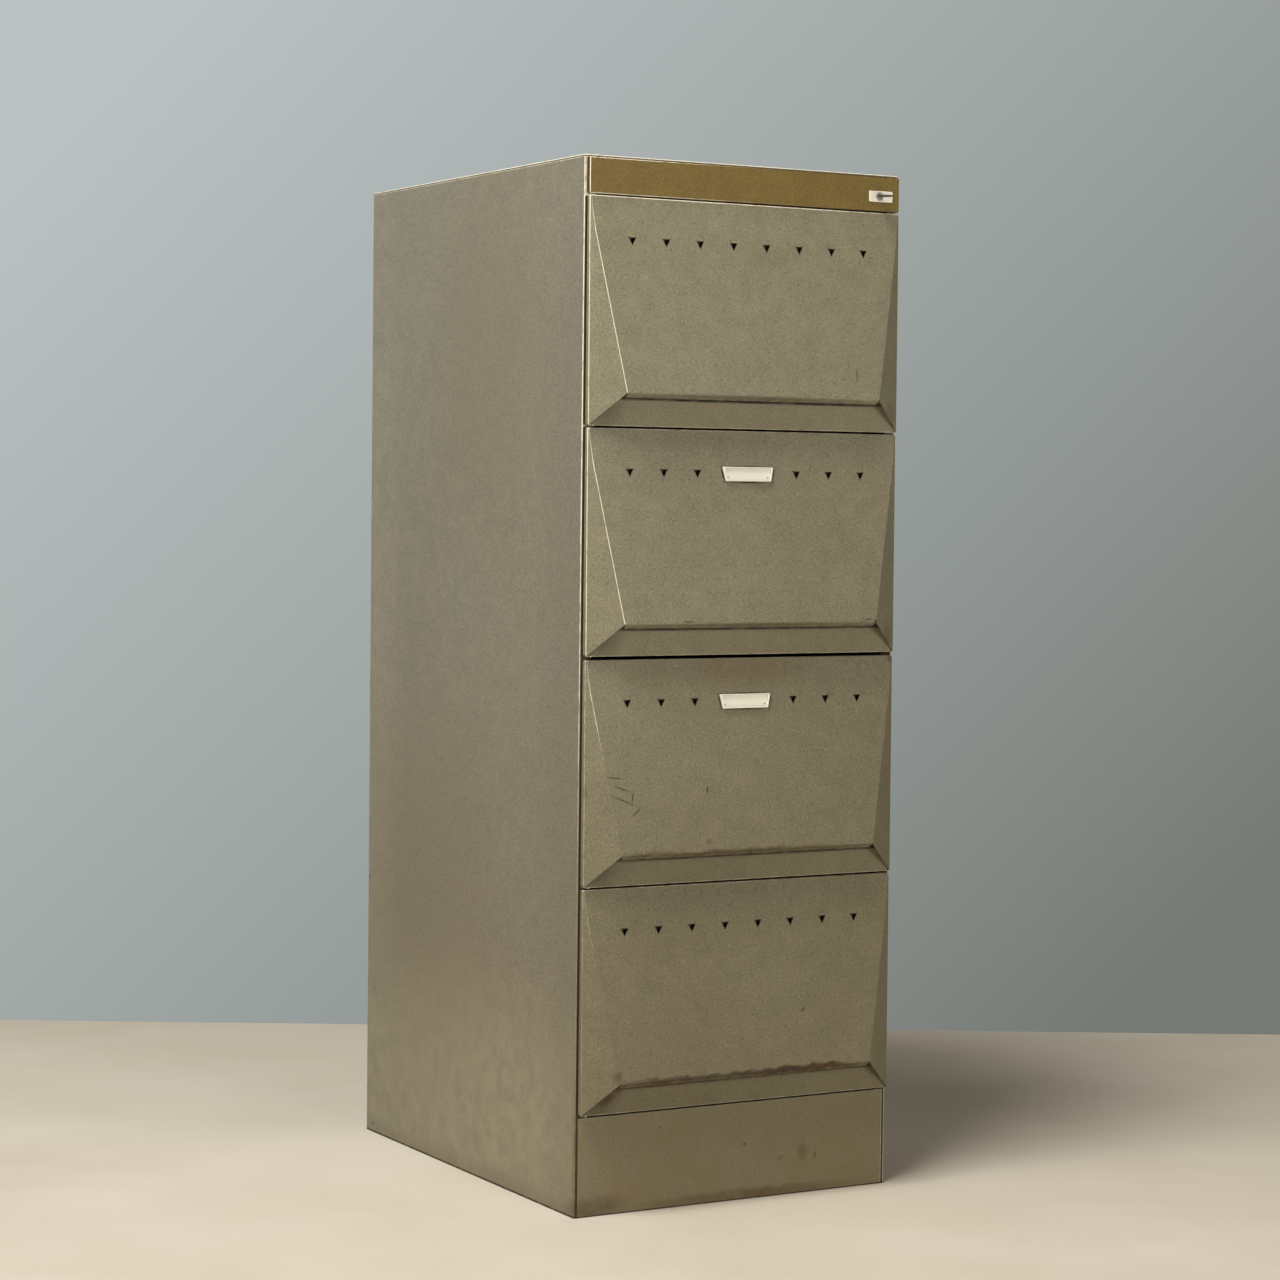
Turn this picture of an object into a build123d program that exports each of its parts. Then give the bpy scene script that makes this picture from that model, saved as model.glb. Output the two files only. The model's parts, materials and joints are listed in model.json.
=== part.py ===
"""Four-drawer vertical filing cabinet in sheet steel.

Millimetres. +Z is up, the drawers open towards -Y, +X is to the right seen from the front.
The origin is on the floor under the middle of the case. "Proud" distances are measured
forward from the plane of the case's front edges, and heights on a drawer from the bottom
edge of its front.
"""
from build123d import *
import math
import os

# ---- case ----
CASE_W = 463.0
CASE_D = 622.0
DRAWERS = 4
DRAWER_PITCH = 286.0
PLINTH_H = 127.0
PLINTH_GAP = 2.0
FASCIA_ZONE = 49.0
SHEET = 1.0
CORNER_R = 4.0
REAR_CORNER_R = 2.0
FRONT_FLANGE = 16.0
REVEAL = 3.5
LID_SKIRT = 2.7
LID_GAP = 0.2
PLINTH_DEPTH = 20.0
PAN_FLANGE = 12.0

# ---- uprights that carry the runners ----
UPRIGHT_T = 1.2
UPRIGHT_DEPTH = 50.0
REAR_UPRIGHT_DEPTH = 24.0

# ---- drawer fronts ----
FRONT_GAP = 3.0
FRONT_LIFT = 2.0
BACK_GAP = 2.0
SKIN = 1.2
EDGE_TOP = 8.0
EDGE_BOTTOM = 9.5
TOP_STRIP = 7.0
RIDGE_INSET = 42.5
LIP_PROUD = 32.5
LIP_HEIGHT = 40.0
LIP_BACK = 7.5
LIP_DROP = 6.0
LIP_RETURN = 8.0
PULL_HEIGHT = 70.0
PULL_STEP = 0.3
CAVITY_RUN_ON = 1.3
INNER_T = 1.0
FIT_GAP = 0.3
# how far each front hangs above (+) or below (-) its even place, as the old case has settled
HANG = {1: 0.0, 2: 0.6, 3: -0.6, 4: 0.0}

# ---- slots and label holders ----
SLOT_COUNT = 8
SLOT_PITCH = 48.7
SLOT_W = 9.5
SLOT_H = 8.5
SLOT_DROP = 54.8
LABEL_TOP_W = 74.5
LABEL_BOTTOM_W = 66.5
LABEL_H = 18.3
LABEL_DEPTH = 4.0
LABEL_RIM = 2.6
LABEL_TOP_RIM = 1.5
LABEL_FLOOR = 1.4
LABEL_BEVEL = 1.0
CARD_T = 0.4
PEG_R = 2.0
PEG_REACH = 3.0
LABELLED = (2, 3)

# ---- drawer trays and their runners ----
TRAY_T = 1.0
TRAY_FLOOR = 20.0
TRAY_HEADROOM = 31.0
TRAY_BACK_GAP = 31.0
TRAY_HEM = 9.0
RUNNER_T = 1.2
RUNNER_LOW = 26.0
RUNNER_H = 38.0
RUNNER_DEPTH = 9.0
DRAWER_RUNNER_DEPTH = 7.7
ARM_T = 2.0
ARM_INSET = 4.0
ARM_GAP = 0.5
GLIDE_GAP = 0.2
GLIDE_HEIGHT_GAP = 0.3
GLIDE_L = 34.0
RUNNER_FRONT_GAP = 11.0
RUNNER_REAR_GAP = 21.0
ARM_FRONT_GAP = 21.0
ARM_REAR_GAP = 41.0
GLIDE_END = 6.0
GLIDE_MID = 16.0
TIE_W = 25.0
TIE_T = 1.5
TIE_DROP = 8.0
BUFFER_R = 8.0
BUFFER_GAP = 1.5
BUFFER_INSET = 46.0
BUFFER_HEIGHT = 140.0

# ---- lock ----
LOCK_FROM_SIDE = 34.5
LOCK_BELOW_TOP = 29.0
LOCK_PLATE_W = 36.0
LOCK_PLATE_H = 14.0
LOCK_PLATE_T = 1.5
LOCK_PLATE_SHIFT = 2.2
HOUSING_WALL = 2.1
NOSE_WALL = 0.9
NOSE_PROUD = 0.3
LOCK_CLEAR = 0.1
PLUG_R = 4.6
PLUG_FIT = 0.05
HOUSING_BACK = 18.0
PLUG_TAIL = 2.0
NUT_T = 4.0
NUT_WALL = 2.5
KEY_T = 1.4
KEY_W = 6.8
KEY_FIT = 0.15
KEY_BOW_R = 10.0
KEY_BOW_T = 2.0
KEY_NECK = 2.0
KEY_BLADE_L = 22.0
KEY_HOLE_R = 2.5
KEY_HOLE_OUT = 4.0
CAM_T = 2.5
CAM_R = 6.0
CAM_ARM = 8.5
CAM_ARM_HALF = 2.25
CAM_PIN_R = 1.5
CAM_REST_ANGLE = math.radians(45)
CAM_SCREW_R = 2.5
CAM_SCREW_HEAD = 1.5
CAM_SCREW_SHANK_R = 1.4
CAM_SCREW_L = 8.0
BAR_T = 3.0
BAR_WALL_GAP = 1.2
BAR_SIDE_GAP = 1.3
BAR_LOW = 60.0
BAR_TAPER = 3.0
BAR_HEAD_ABOVE = 11.0
BAR_HEAD_BELOW = 3.0
BAR_SLOT_GAP = 0.6
BAR_DROP = 12.0
HOOK_REACH = 12.0
HOOK_H = 10.0
HOOK_GAP = 2.5
SLOT_MARGIN = 2.0
CATCH_T = 1.2
CATCH_BASE_L = 30.0
CATCH_BELOW_RIM = 59.0
CATCH_H = 14.0
CATCH_REACH = 15.0
CATCH_TAB_T = 2.0
CATCH_BEHIND_HOOK = 1.0
GUIDE_H = 12.0
GUIDE_WALL = 3.0
GUIDE_FIT = 0.3

# ---- a hair's breadth, for picking edges by their place ----
HAIR = 0.1

# ---- worked out from the sizes above ----
HALF_W = CASE_W / 2
FRONT_Y = -CASE_D / 2
BACK_Y = CASE_D / 2
CASE_H = PLINTH_H + DRAWERS * DRAWER_PITCH + FASCIA_ZONE
PLINTH_TOP = PLINTH_H - PLINTH_GAP
SIDE_H = CASE_H - LID_SKIRT
FRONT_H = DRAWER_PITCH - FRONT_GAP
HALF_F = HALF_W - REVEAL
OPENING_X = HALF_W - FRONT_FLANGE
APEX_H = FRONT_H - TOP_STRIP
RIDGE_X = HALF_F - RIDGE_INSET
PANEL_SLOPE = (LIP_PROUD - EDGE_TOP) / (APEX_H - LIP_HEIGHT)
UPRIGHT_WING = FRONT_FLANGE - UPRIGHT_T - CORNER_R - FIT_GAP
RUNNER_INNER_X = OPENING_X - RUNNER_DEPTH
ARM_X = RUNNER_INNER_X - ARM_GAP
TRAY_X = ARM_X - ARM_T - FIT_GAP - DRAWER_RUNNER_DEPTH
TRAY_BACK_Y = BACK_Y - TRAY_BACK_GAP
TRAY_TOP = DRAWER_PITCH - TRAY_HEADROOM
CATCH_LOW = TRAY_TOP - CATCH_BELOW_RIM
BUFFER_X = TRAY_X - BUFFER_INSET
TRAY_FRONT_Y = FRONT_Y - BACK_GAP
LOCK_X = HALF_W - LOCK_FROM_SIDE
LOCK_Z = CASE_H - LOCK_BELOW_TOP
COVER_PROUD = EDGE_TOP
HOUSING_R = PLUG_R + HOUSING_WALL
HOUSING_NOSE_R = PLUG_R + NOSE_WALL
NUT_ACROSS = 2 * (HOUSING_R + NUT_WALL)
FASCIA_BOTTOM = PLINTH_H + FRONT_LIFT + DRAWERS * DRAWER_PITCH - FRONT_GAP + FRONT_LIFT
FASCIA_TOP = SIDE_H - SHEET
NOSE_FACE = COVER_PROUD + LOCK_PLATE_T + NOSE_PROUD
PLUG_BACK = -HOUSING_BACK - PLUG_TAIL
CAM_BACK = PLUG_BACK - CAM_T
BAR_FRONT = CAM_BACK - FIT_GAP
BAR_X = OPENING_X + UPRIGHT_T + BAR_SIDE_GAP
BAR_W = HALF_W - SHEET - BAR_WALL_GAP - SHEET - GUIDE_FIT - BAR_X
BAR_HEAD_Z = (LOCK_Z - BAR_HEAD_BELOW, LOCK_Z + BAR_HEAD_ABOVE)
PIN_X = LOCK_X + CAM_ARM * math.cos(CAM_REST_ANGLE)
PIN_Z = LOCK_Z + CAM_ARM * math.sin(CAM_REST_ANGLE)


def ahead(distance):
    """The Y of a plane this far in front of the case's front edges."""
    return FRONT_Y - distance


def drawer_base(number):
    """Height of the bottom edge of a drawer front; drawer 1 is at the top."""
    return PLINTH_H + FRONT_LIFT + (DRAWERS - number) * DRAWER_PITCH + HANG[number]


def panel_proud(height):
    """How far the leaning front panel stands out at a height on the front."""
    return EDGE_TOP + PANEL_SLOPE * (APEX_H - height)


def block(x, y, z):
    """A box from three (low, high) pairs."""
    size = (x[1] - x[0], y[1] - y[0], z[1] - z[0])
    middle = ((x[0] + x[1]) / 2, (y[0] + y[1]) / 2, (z[0] + z[1]) / 2)
    return Pos(*middle) * Box(*size)


def rod(radius, y, x=0.0, z=0.0):
    """A round bar along Y."""
    return Pos(x, (y[0] + y[1]) / 2, z) * Rot(90, 0, 0) * Cylinder(radius, y[1] - y[0])


def across(points, x):
    """A (proud, height) outline drawn out along X."""
    face = make_face(Polyline(*[(0, ahead(p), h) for p, h in points], close=True))
    return Pos(x[0], 0, 0) * extrude(face, amount=x[1] - x[0], dir=(1, 0, 0))


def pair(shape):
    """The piece on the right with its mirror image on the left."""
    return [shape, mirror(shape, Plane.YZ)]


def polyhedron(points, faces):
    """A closed solid from corner points and the corner numbers of each flat face."""
    skins = [Face(Wire.make_polygon([points[i] for i in face], close=True)) for face in faces]
    return Solid(Shell(skins))


def write(name, shapes):
    """Save the solids of one node."""
    solids = []
    for shape in shapes:
        solids.extend(shape.solids())
    whole = solids[0] if len(solids) == 1 else Compound(solids)
    export_step(whole, f"parts/{name}.step")


# ---------------------------------------------------------------- case


def side_panel():
    """Right side: a flat sheet with front and rear returns, notched for the plinth."""
    outer = block((OPENING_X, HALF_W), (FRONT_Y, BACK_Y), (0, SIDE_H))
    upright_edges = outer.edges().filter_by(Axis.Z)
    outside = upright_edges.filter_by_position(Axis.X, HALF_W - SHEET, HALF_W + SHEET)
    front_edge = outside.sort_by(Axis.Y)[0]
    rear_edge = outside.sort_by(Axis.Y)[-1]
    outer = fillet(front_edge, CORNER_R)
    outer = fillet(outer.edges().sort_by_distance(rear_edge.center())[0], REAR_CORNER_R)
    inner_x = (OPENING_X - SHEET, HALF_W - SHEET)
    inner = block(inner_x, (FRONT_Y + SHEET, BACK_Y - SHEET), (-SHEET, CASE_H))
    corners = inner.edges().filter_by(Axis.Z).sort_by(Axis.X)[-2:].sort_by(Axis.Y)
    rear_corner = corners[-1].center()
    inner = fillet(corners[0], CORNER_R - SHEET)
    inner = fillet(inner.edges().sort_by_distance(rear_corner)[0], REAR_CORNER_R - SHEET)
    notch_y = (FRONT_Y - SHEET, FRONT_Y + 2 * SHEET)
    notch = block((0, HALF_F - SHEET + FIT_GAP), notch_y, (-SHEET, PLINTH_TOP + LID_GAP))
    return outer - inner - notch


def back_panel():
    """Flat sheet just inside the rear returns of the sides."""
    reach = HALF_W - REAR_CORNER_R - LID_GAP
    return block((-reach, reach), (BACK_Y - 2 * SHEET, BACK_Y - SHEET), (SHEET, SIDE_H))


def top_panel():
    """Shallow lid with a narrow turned-down skirt all round."""
    lid = block((-HALF_W, HALF_W), (FRONT_Y, BACK_Y), (CASE_H - LID_SKIRT, CASE_H))
    lid = fillet(lid.edges().filter_by(Axis.Z), REAR_CORNER_R)
    reach = HALF_W - SHEET
    hollow = block((-reach, reach), (FRONT_Y + SHEET, BACK_Y - SHEET), (0, CASE_H - SHEET))
    # a flat centring flange inside the sides holds the lid in place
    flange_x = HALF_W - SHEET - LID_GAP
    flange_y = CASE_D / 2 - UPRIGHT_DEPTH - 2 * FIT_GAP
    outer = block((-flange_x, flange_x), (-flange_y, flange_y), (CASE_H - PAN_FLANGE, CASE_H - SHEET))
    cut = flange_x - SHEET
    inner = block((-cut, cut), (-flange_y, flange_y), (0, CASE_H))
    return (lid - hollow) + (outer - inner)


def base_pan():
    """Floor sheet with upturned edges; the whole cabinet stands on it."""
    reach = HALF_W - SHEET - LID_GAP
    y = (FRONT_Y + PLINTH_DEPTH + LID_GAP, BACK_Y - 2 * SHEET - LID_GAP)
    pan = block((-reach, reach), y, (0, PAN_FLANGE))
    inside = (y[0] + SHEET, y[1] - SHEET)
    above = (SHEET, PAN_FLANGE + SHEET)
    pan -= block((SHEET - reach, reach - SHEET), inside, above)
    # the edges stop short of the four uprights
    corner_x = (OPENING_X - FIT_GAP, HALF_W)
    front = (FRONT_Y, FRONT_Y + SHEET + UPRIGHT_DEPTH + FIT_GAP)
    rear = (BACK_Y - 2 * SHEET - REAR_UPRIGHT_DEPTH - FIT_GAP, BACK_Y)
    for side in pair(block(corner_x, front, above)) + pair(block(corner_x, rear, above)):
        pan -= side
    return pan


def plinth_front():
    """Kick plate under the drawers, a pan open at the back."""
    reach = HALF_F - SHEET
    depth = PLINTH_DEPTH
    plate = block((-reach, reach), (FRONT_Y, FRONT_Y + depth), (0, PLINTH_TOP))
    plate -= block((SHEET - reach, reach - SHEET), (FRONT_Y + SHEET, FRONT_Y + depth + SHEET),
                   (SHEET, PLINTH_TOP - SHEET))
    # the side returns are short, clear of the uprights behind them
    trim_y = (FRONT_Y + SHEET, FRONT_Y + depth + SHEET)
    trim = block((OPENING_X - FIT_GAP, HALF_W), trim_y, (-SHEET, PLINTH_TOP + SHEET))
    for side in pair(trim):
        plate -= side
    return plate


def upright(depth, front):
    """Right upright: a channel behind the front return, or before the rear one."""
    y0 = FRONT_Y + SHEET if front else BACK_Y - 2 * SHEET - depth
    y1 = y0 + depth
    web = block((OPENING_X, OPENING_X + UPRIGHT_T), (y0, y1), (SHEET, SIDE_H - SHEET))
    wing_x = (OPENING_X, OPENING_X + UPRIGHT_T + UPRIGHT_WING)
    wing = block(wing_x, (y0, y0 + UPRIGHT_T), (SHEET, SIDE_H - SHEET))
    return web + wing + Pos(0, depth - UPRIGHT_T, 0) * wing


def hook_zone(number):
    """Heights of a lock bar hook, drawers free."""
    low = drawer_base(number) + CATCH_LOW + CATCH_H + HOOK_GAP
    return (low, low + HOOK_H)


def front_right_upright():
    """The right upright has a slot for each hook of the lock bar and one for its head."""
    shape = upright(UPRIGHT_DEPTH, True)
    y = (ahead(BAR_FRONT) - SLOT_MARGIN, ahead(BAR_FRONT - BAR_T) + SLOT_MARGIN)
    x = (OPENING_X - SHEET, OPENING_X + UPRIGHT_T + FIT_GAP)
    zones = [hook_zone(number) for number in range(1, DRAWERS + 1)]
    zones.append(BAR_HEAD_Z)
    for low, high in zones:
        shape -= block(x, y, (low - BAR_DROP - SLOT_MARGIN, high + SLOT_MARGIN))
    return shape


def fascia_rail():
    """Channel across the top of the front, open to the back, that carries the lock."""
    z = (FASCIA_BOTTOM - FRONT_LIFT, FASCIA_TOP)
    depth = PLINTH_DEPTH + PAN_FLANGE / 2
    y = (FRONT_Y + SHEET, FRONT_Y + SHEET + depth)
    rail = block((-OPENING_X, OPENING_X), y, z)
    hollow_z = (z[0] + UPRIGHT_T, z[1] - UPRIGHT_T)
    rail -= block((-HALF_W, HALF_W), (y[0] + UPRIGHT_T, y[1] + SHEET), hollow_z)
    return rail - rod(HOUSING_R + LOCK_CLEAR, (y[0] - SHEET, y[1]), LOCK_X, LOCK_Z)


def fascia_cover():
    """Shallow pan over the rail, flush with the drawer fronts."""
    z = (FASCIA_BOTTOM, FASCIA_TOP)
    cover = block((-HALF_F, HALF_F), (ahead(COVER_PROUD), FRONT_Y), z)
    face_y = ahead(COVER_PROUD)
    cover = fillet(cover.edges().filter_by_position(Axis.Y, face_y - HAIR, face_y + HAIR), SHEET)
    hollow_y = (face_y + SHEET, FRONT_Y + SHEET)
    cover -= block((SHEET - HALF_F, HALF_F - SHEET), hollow_y, (z[0] + SHEET, z[1] - SHEET))
    return cover - rod(HOUSING_R + LOCK_CLEAR, (face_y - SHEET, FRONT_Y), LOCK_X, LOCK_Z)


def runner_heights(number):
    """Lower and upper outside faces of a drawer's runners."""
    low = drawer_base(number) + RUNNER_LOW
    return (low, low + RUNNER_H)


def case_runner(number):
    """Right fixed runner: a channel open towards the drawer."""
    z = runner_heights(number)
    y = (FRONT_Y + RUNNER_FRONT_GAP, BACK_Y - RUNNER_REAR_GAP)
    shape = block((RUNNER_INNER_X, OPENING_X), y, z)
    hollow_z = (z[0] + RUNNER_T, z[1] - RUNNER_T)
    return shape - block((0, OPENING_X - RUNNER_T), (y[0] - SHEET, y[1] + SHEET), hollow_z)


def rear_buffers():
    """Rubber buffers on the back panel that stop each drawer."""
    found = []
    y = (TRAY_BACK_Y + BUFFER_GAP, BACK_Y - 2 * SHEET)
    for number in range(1, DRAWERS + 1):
        found += pair(rod(BUFFER_R, y, BUFFER_X, drawer_base(number) + BUFFER_HEIGHT))
    return found


# ---------------------------------------------------------------- drawer fronts


def front_slab(inset, low):
    """The flat rim of a drawer front, set in all round by a thickness, down to a height."""
    back = BACK_GAP if inset == 0 else BACK_GAP - INNER_T
    lean = (EDGE_BOTTOM - EDGE_TOP) / APEX_H
    outline = [
        (back, low),
        (EDGE_BOTTOM - lean * low - inset, low),
        (EDGE_TOP - inset, APEX_H),
        (EDGE_TOP - inset, FRONT_H - inset),
        (back, FRONT_H - inset),
    ]
    return across(outline, (inset - HALF_F, HALF_F - inset))


def front_wedge(stretch):
    """The leaning panel with its two side facets; stretch runs it on below its lower edges."""
    def corner(x, proud, height):
        along = stretch if height < APEX_H else 1.0
        x0 = math.copysign(HALF_F, x)
        return (x0 + (x - x0) * along, ahead(EDGE_TOP + (proud - EDGE_TOP) * along),
                APEX_H + (height - APEX_H) * along)

    points = [corner(side * HALF_F, EDGE_TOP, APEX_H) for side in (-1, 1)]
    points += [corner(side * HALF_F, EDGE_BOTTOM, 0) for side in (1, -1)]
    points += [corner(side * RIDGE_X, LIP_PROUD, LIP_HEIGHT) for side in (-1, 1)]
    faces = [(0, 1, 2, 3), (0, 4, 5, 1), (0, 3, 4), (1, 5, 2), (3, 2, 5, 4)]
    return polyhedron(points, faces)


def front_cavity(inset):
    """The space behind a skin of this thickness, open at the back and below."""
    room = front_slab(inset, -2 * SKIN) + Pos(0, inset, 0) * front_wedge(CAVITY_RUN_ON)
    clip = block((inset - HALF_F, HALF_F - inset), (ahead(2 * LIP_PROUD), FRONT_Y),
                 (-LIP_HEIGHT, FRONT_H - inset))
    return room & clip


def lip():
    """The panel's lower edge: turned back and down, then up again inside."""
    root = LIP_PROUD - LIP_BACK
    edge = LIP_HEIGHT - LIP_DROP
    outline = [
        (LIP_PROUD, LIP_HEIGHT),
        (root, edge),
        (root - SKIN, edge),
        (root - SKIN, LIP_HEIGHT + LIP_RETURN),
        (root, LIP_HEIGHT + LIP_RETURN),
        (root, edge + SKIN * math.hypot(LIP_BACK, LIP_DROP) / LIP_BACK),
        (panel_proud(LIP_HEIGHT + 2 * SKIN), LIP_HEIGHT + 2 * SKIN),
    ]
    return across(outline, (-HALF_F, HALF_F))


def panel_place(x):
    """A plane on the front panel at the slots' height: local X right, local Y up the panel."""
    height = FRONT_H - SLOT_DROP
    origin = (x, ahead(panel_proud(height)), height)
    return Plane(origin=origin, x_dir=(1, 0, 0), z_dir=(0, -1, PANEL_SLOPE))


def slot_positions():
    """Middles of the triangular slots along X."""
    return [SLOT_PITCH * (i - (SLOT_COUNT - 1) / 2) for i in range(SLOT_COUNT)]


def slots():
    """The row of triangular slots, points down."""
    cuts = []
    for x in slot_positions():
        corners = [(-SLOT_W / 2, SLOT_H / 2), (SLOT_W / 2, SLOT_H / 2), (0, -SLOT_H / 2)]
        prism = extrude(make_face(Polyline(*corners, close=True)), amount=2 * SKIN, both=True)
        cuts.append(panel_place(x).location * prism)
    return cuts


def drawer_front():
    """Outer skin of a drawer front, a thin pressing with its lip and slots."""
    solid = front_slab(0, 0) + front_wedge(1.0)
    skin = solid - front_cavity(SKIN) + (lip() & solid)
    for cut in slots():
        skin -= cut
    return skin


def pull_plate():
    """Plate behind the lip that makes the finger pull: upright, with a shelf above."""
    front = EDGE_BOTTOM - PULL_STEP
    rear = BACK_GAP + INNER_T
    width = (-HALF_F, HALF_F)
    plate = block(width, (ahead(front), ahead(front - SKIN)), (0, PULL_HEIGHT))
    foot = block(width, (ahead(front), ahead(rear)), (0, SKIN))
    shelf = block(width, (ahead(LIP_PROUD), ahead(front - SKIN)), (PULL_HEIGHT, PULL_HEIGHT + SKIN))
    return (plate + foot + shelf) & front_cavity(SKIN)


def inner_front():
    """Flat sheet that closes the back of the front and carries the tray."""
    reach = HALF_F - SKIN
    return block((-reach, reach), (ahead(BACK_GAP + INNER_T), ahead(BACK_GAP)), (0, FRONT_H - SKIN))


def label_outline(inset, top_inset):
    """The holder's outline on the panel, set in by an amount, and by another at its top."""
    slant = (LABEL_TOP_W - LABEL_BOTTOM_W) / 2 / LABEL_H
    high = LABEL_H / 2 - top_inset
    low = inset - LABEL_H / 2
    middle = (LABEL_TOP_W + LABEL_BOTTOM_W) / 4 - inset
    top = middle + slant * high
    bottom = middle + slant * low
    corners = [(-top, high), (top, high), (bottom, low), (-bottom, low)]
    return make_face(Polyline(*corners, close=True))


def label_holder():
    """Moulded holder with a raised rim, pegged into the two middle slots."""
    body = extrude(label_outline(0, 0), amount=LABEL_DEPTH)
    rim = body.edges().filter_by_position(Axis.Z, LABEL_DEPTH - HAIR, LABEL_DEPTH + HAIR)
    body = chamfer(rim, LABEL_BEVEL)
    window = label_outline(LABEL_RIM, LABEL_TOP_RIM)
    body -= Pos(0, 0, LABEL_FLOOR) * extrude(window, amount=LABEL_DEPTH)
    # each peg sits where a circle fits best inside its triangular slot
    slot_side = math.hypot(SLOT_W / 2, SLOT_H)
    best_r = SLOT_W * SLOT_H / (SLOT_W + 2 * slot_side)
    peg_y = SLOT_H / 2 - best_r
    for side in (-1, 1):
        body += Pos(side * SLOT_PITCH / 2, peg_y, -PEG_REACH / 2) * Cylinder(PEG_R, PEG_REACH)
    return panel_place(0).location * body


def label_card():
    """Card lying in the holder."""
    outline = label_outline(LABEL_RIM + FIT_GAP, LABEL_TOP_RIM + FIT_GAP)
    card = Pos(0, 0, LABEL_FLOOR) * extrude(outline, amount=CARD_T)
    return panel_place(0).location * card


# ---------------------------------------------------------------- trays and suspension


def tray():
    """Folded tray: floor, two sides with turned-in top edges, and back."""
    y = (TRAY_FRONT_Y, TRAY_BACK_Y)
    box = block((-TRAY_X, TRAY_X), y, (TRAY_FLOOR, TRAY_TOP))
    inside = TRAY_X - TRAY_T
    room_z = (TRAY_FLOOR + TRAY_T, TRAY_TOP - TRAY_T)
    box -= block((-inside, inside), (y[0] - TRAY_T, y[1] - TRAY_T), room_z)
    mouth = TRAY_X - TRAY_HEM
    mouth_z = (TRAY_TOP - 2 * TRAY_T, TRAY_TOP + TRAY_T)
    return box - block((-mouth, mouth), (y[0] - TRAY_T, y[1] - TRAY_HEM), mouth_z)


def drawer_runner():
    """Right runner on the tray: a channel open towards the case."""
    z = (RUNNER_LOW, RUNNER_LOW + RUNNER_H)
    y = (FRONT_Y + RUNNER_FRONT_GAP, TRAY_BACK_Y)
    shape = block((TRAY_X, TRAY_X + DRAWER_RUNNER_DEPTH), y, z)
    cut_x = (TRAY_X + RUNNER_T, TRAY_X + 2 * DRAWER_RUNNER_DEPTH)
    return shape - block(cut_x, (y[0] - SHEET, y[1] + SHEET), (z[0] + RUNNER_T, z[1] - RUNNER_T))


def arm_span():
    """Front and rear ends of a cradle arm."""
    return (FRONT_Y + ARM_FRONT_GAP, BACK_Y - ARM_REAR_GAP)


def cradle():
    """Two arms that ride between the runners, tied together under the tray."""
    y = arm_span()
    x = (ARM_X - ARM_T, ARM_X)
    z = (RUNNER_LOW + ARM_INSET, RUNNER_LOW + RUNNER_H - ARM_INSET)
    tie_y = (y[1] - TIE_W, y[1])
    tie_z = TRAY_FLOOR - TIE_DROP
    shape = block((-ARM_X, ARM_X), tie_y, (tie_z, tie_z + TIE_T))
    for arm in pair(block(x, y, z) + block(x, tie_y, (tie_z, z[0]))):
        shape += arm
    return shape


def glides():
    """Nylon blocks: outer ones run in the case runners, inner ones in the drawer's."""
    y = arm_span()
    clear = RUNNER_T + GLIDE_HEIGHT_GAP
    z = (RUNNER_LOW + clear, RUNNER_LOW + RUNNER_H - clear)
    outer_x = (ARM_X, OPENING_X - RUNNER_T - GLIDE_GAP)
    inner_x = (TRAY_X + RUNNER_T + GLIDE_GAP, ARM_X - ARM_T)
    middle = (y[0] + y[1]) / 2
    found = []
    for x, starts in ((outer_x, (y[1] - GLIDE_END - GLIDE_L, middle + GLIDE_MID)),
                      (inner_x, (y[0] + GLIDE_END, middle - GLIDE_MID - GLIDE_L))):
        for start in starts:
            found += pair(block(x, (start, start + GLIDE_L), z))
    return found


def catch():
    """Bracket on the tray's right side that the lock bar's hook stands in front of."""
    tab_y = ahead(BAR_FRONT - BAR_T) + CATCH_BEHIND_HOOK
    z = (CATCH_LOW, CATCH_LOW + CATCH_H)
    base = block((TRAY_X, TRAY_X + CATCH_T), (tab_y, tab_y + CATCH_BASE_L), z)
    return base + block((TRAY_X, TRAY_X + CATCH_REACH), (tab_y, tab_y + CATCH_TAB_T), z)


# ---------------------------------------------------------------- lock


def lock_plate():
    """Moulded plate round the lock's nose."""
    middle = LOCK_X + LOCK_PLATE_SHIFT
    x = (middle - LOCK_PLATE_W / 2, middle + LOCK_PLATE_W / 2)
    z = (LOCK_Z - LOCK_PLATE_H / 2, LOCK_Z + LOCK_PLATE_H / 2)
    plate = block(x, (ahead(COVER_PROUD + LOCK_PLATE_T), ahead(COVER_PROUD)), z)
    plate = fillet(plate.edges().filter_by(Axis.Y), SHEET)
    return plate - rod(HOUSING_NOSE_R + LOCK_CLEAR, (ahead(2 * NOSE_FACE), FRONT_Y), LOCK_X, LOCK_Z)


def lock_housing():
    """Barrel with a narrower nose, bored for the plug."""
    body = rod(HOUSING_R, (ahead(COVER_PROUD), ahead(-HOUSING_BACK)), LOCK_X, LOCK_Z)
    body += rod(HOUSING_NOSE_R, (ahead(NOSE_FACE), ahead(0)), LOCK_X, LOCK_Z)
    bore_y = (ahead(2 * NOSE_FACE), ahead(-2 * HOUSING_BACK))
    return body - rod(PLUG_R + PLUG_FIT, bore_y, LOCK_X, LOCK_Z)


def lock_nut():
    """Hexagon nut that clamps the housing behind the rail."""
    start = FRONT_Y + SHEET + UPRIGHT_T
    hexagon = RegularPolygon(NUT_ACROSS / 2, 6, major_radius=False)
    nut = Pos(LOCK_X, start + NUT_T, LOCK_Z) * Rot(90, 0, 0) * extrude(hexagon, amount=NUT_T)
    return nut - rod(HOUSING_R, (start - SHEET, start + 2 * NUT_T), LOCK_X, LOCK_Z)


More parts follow.
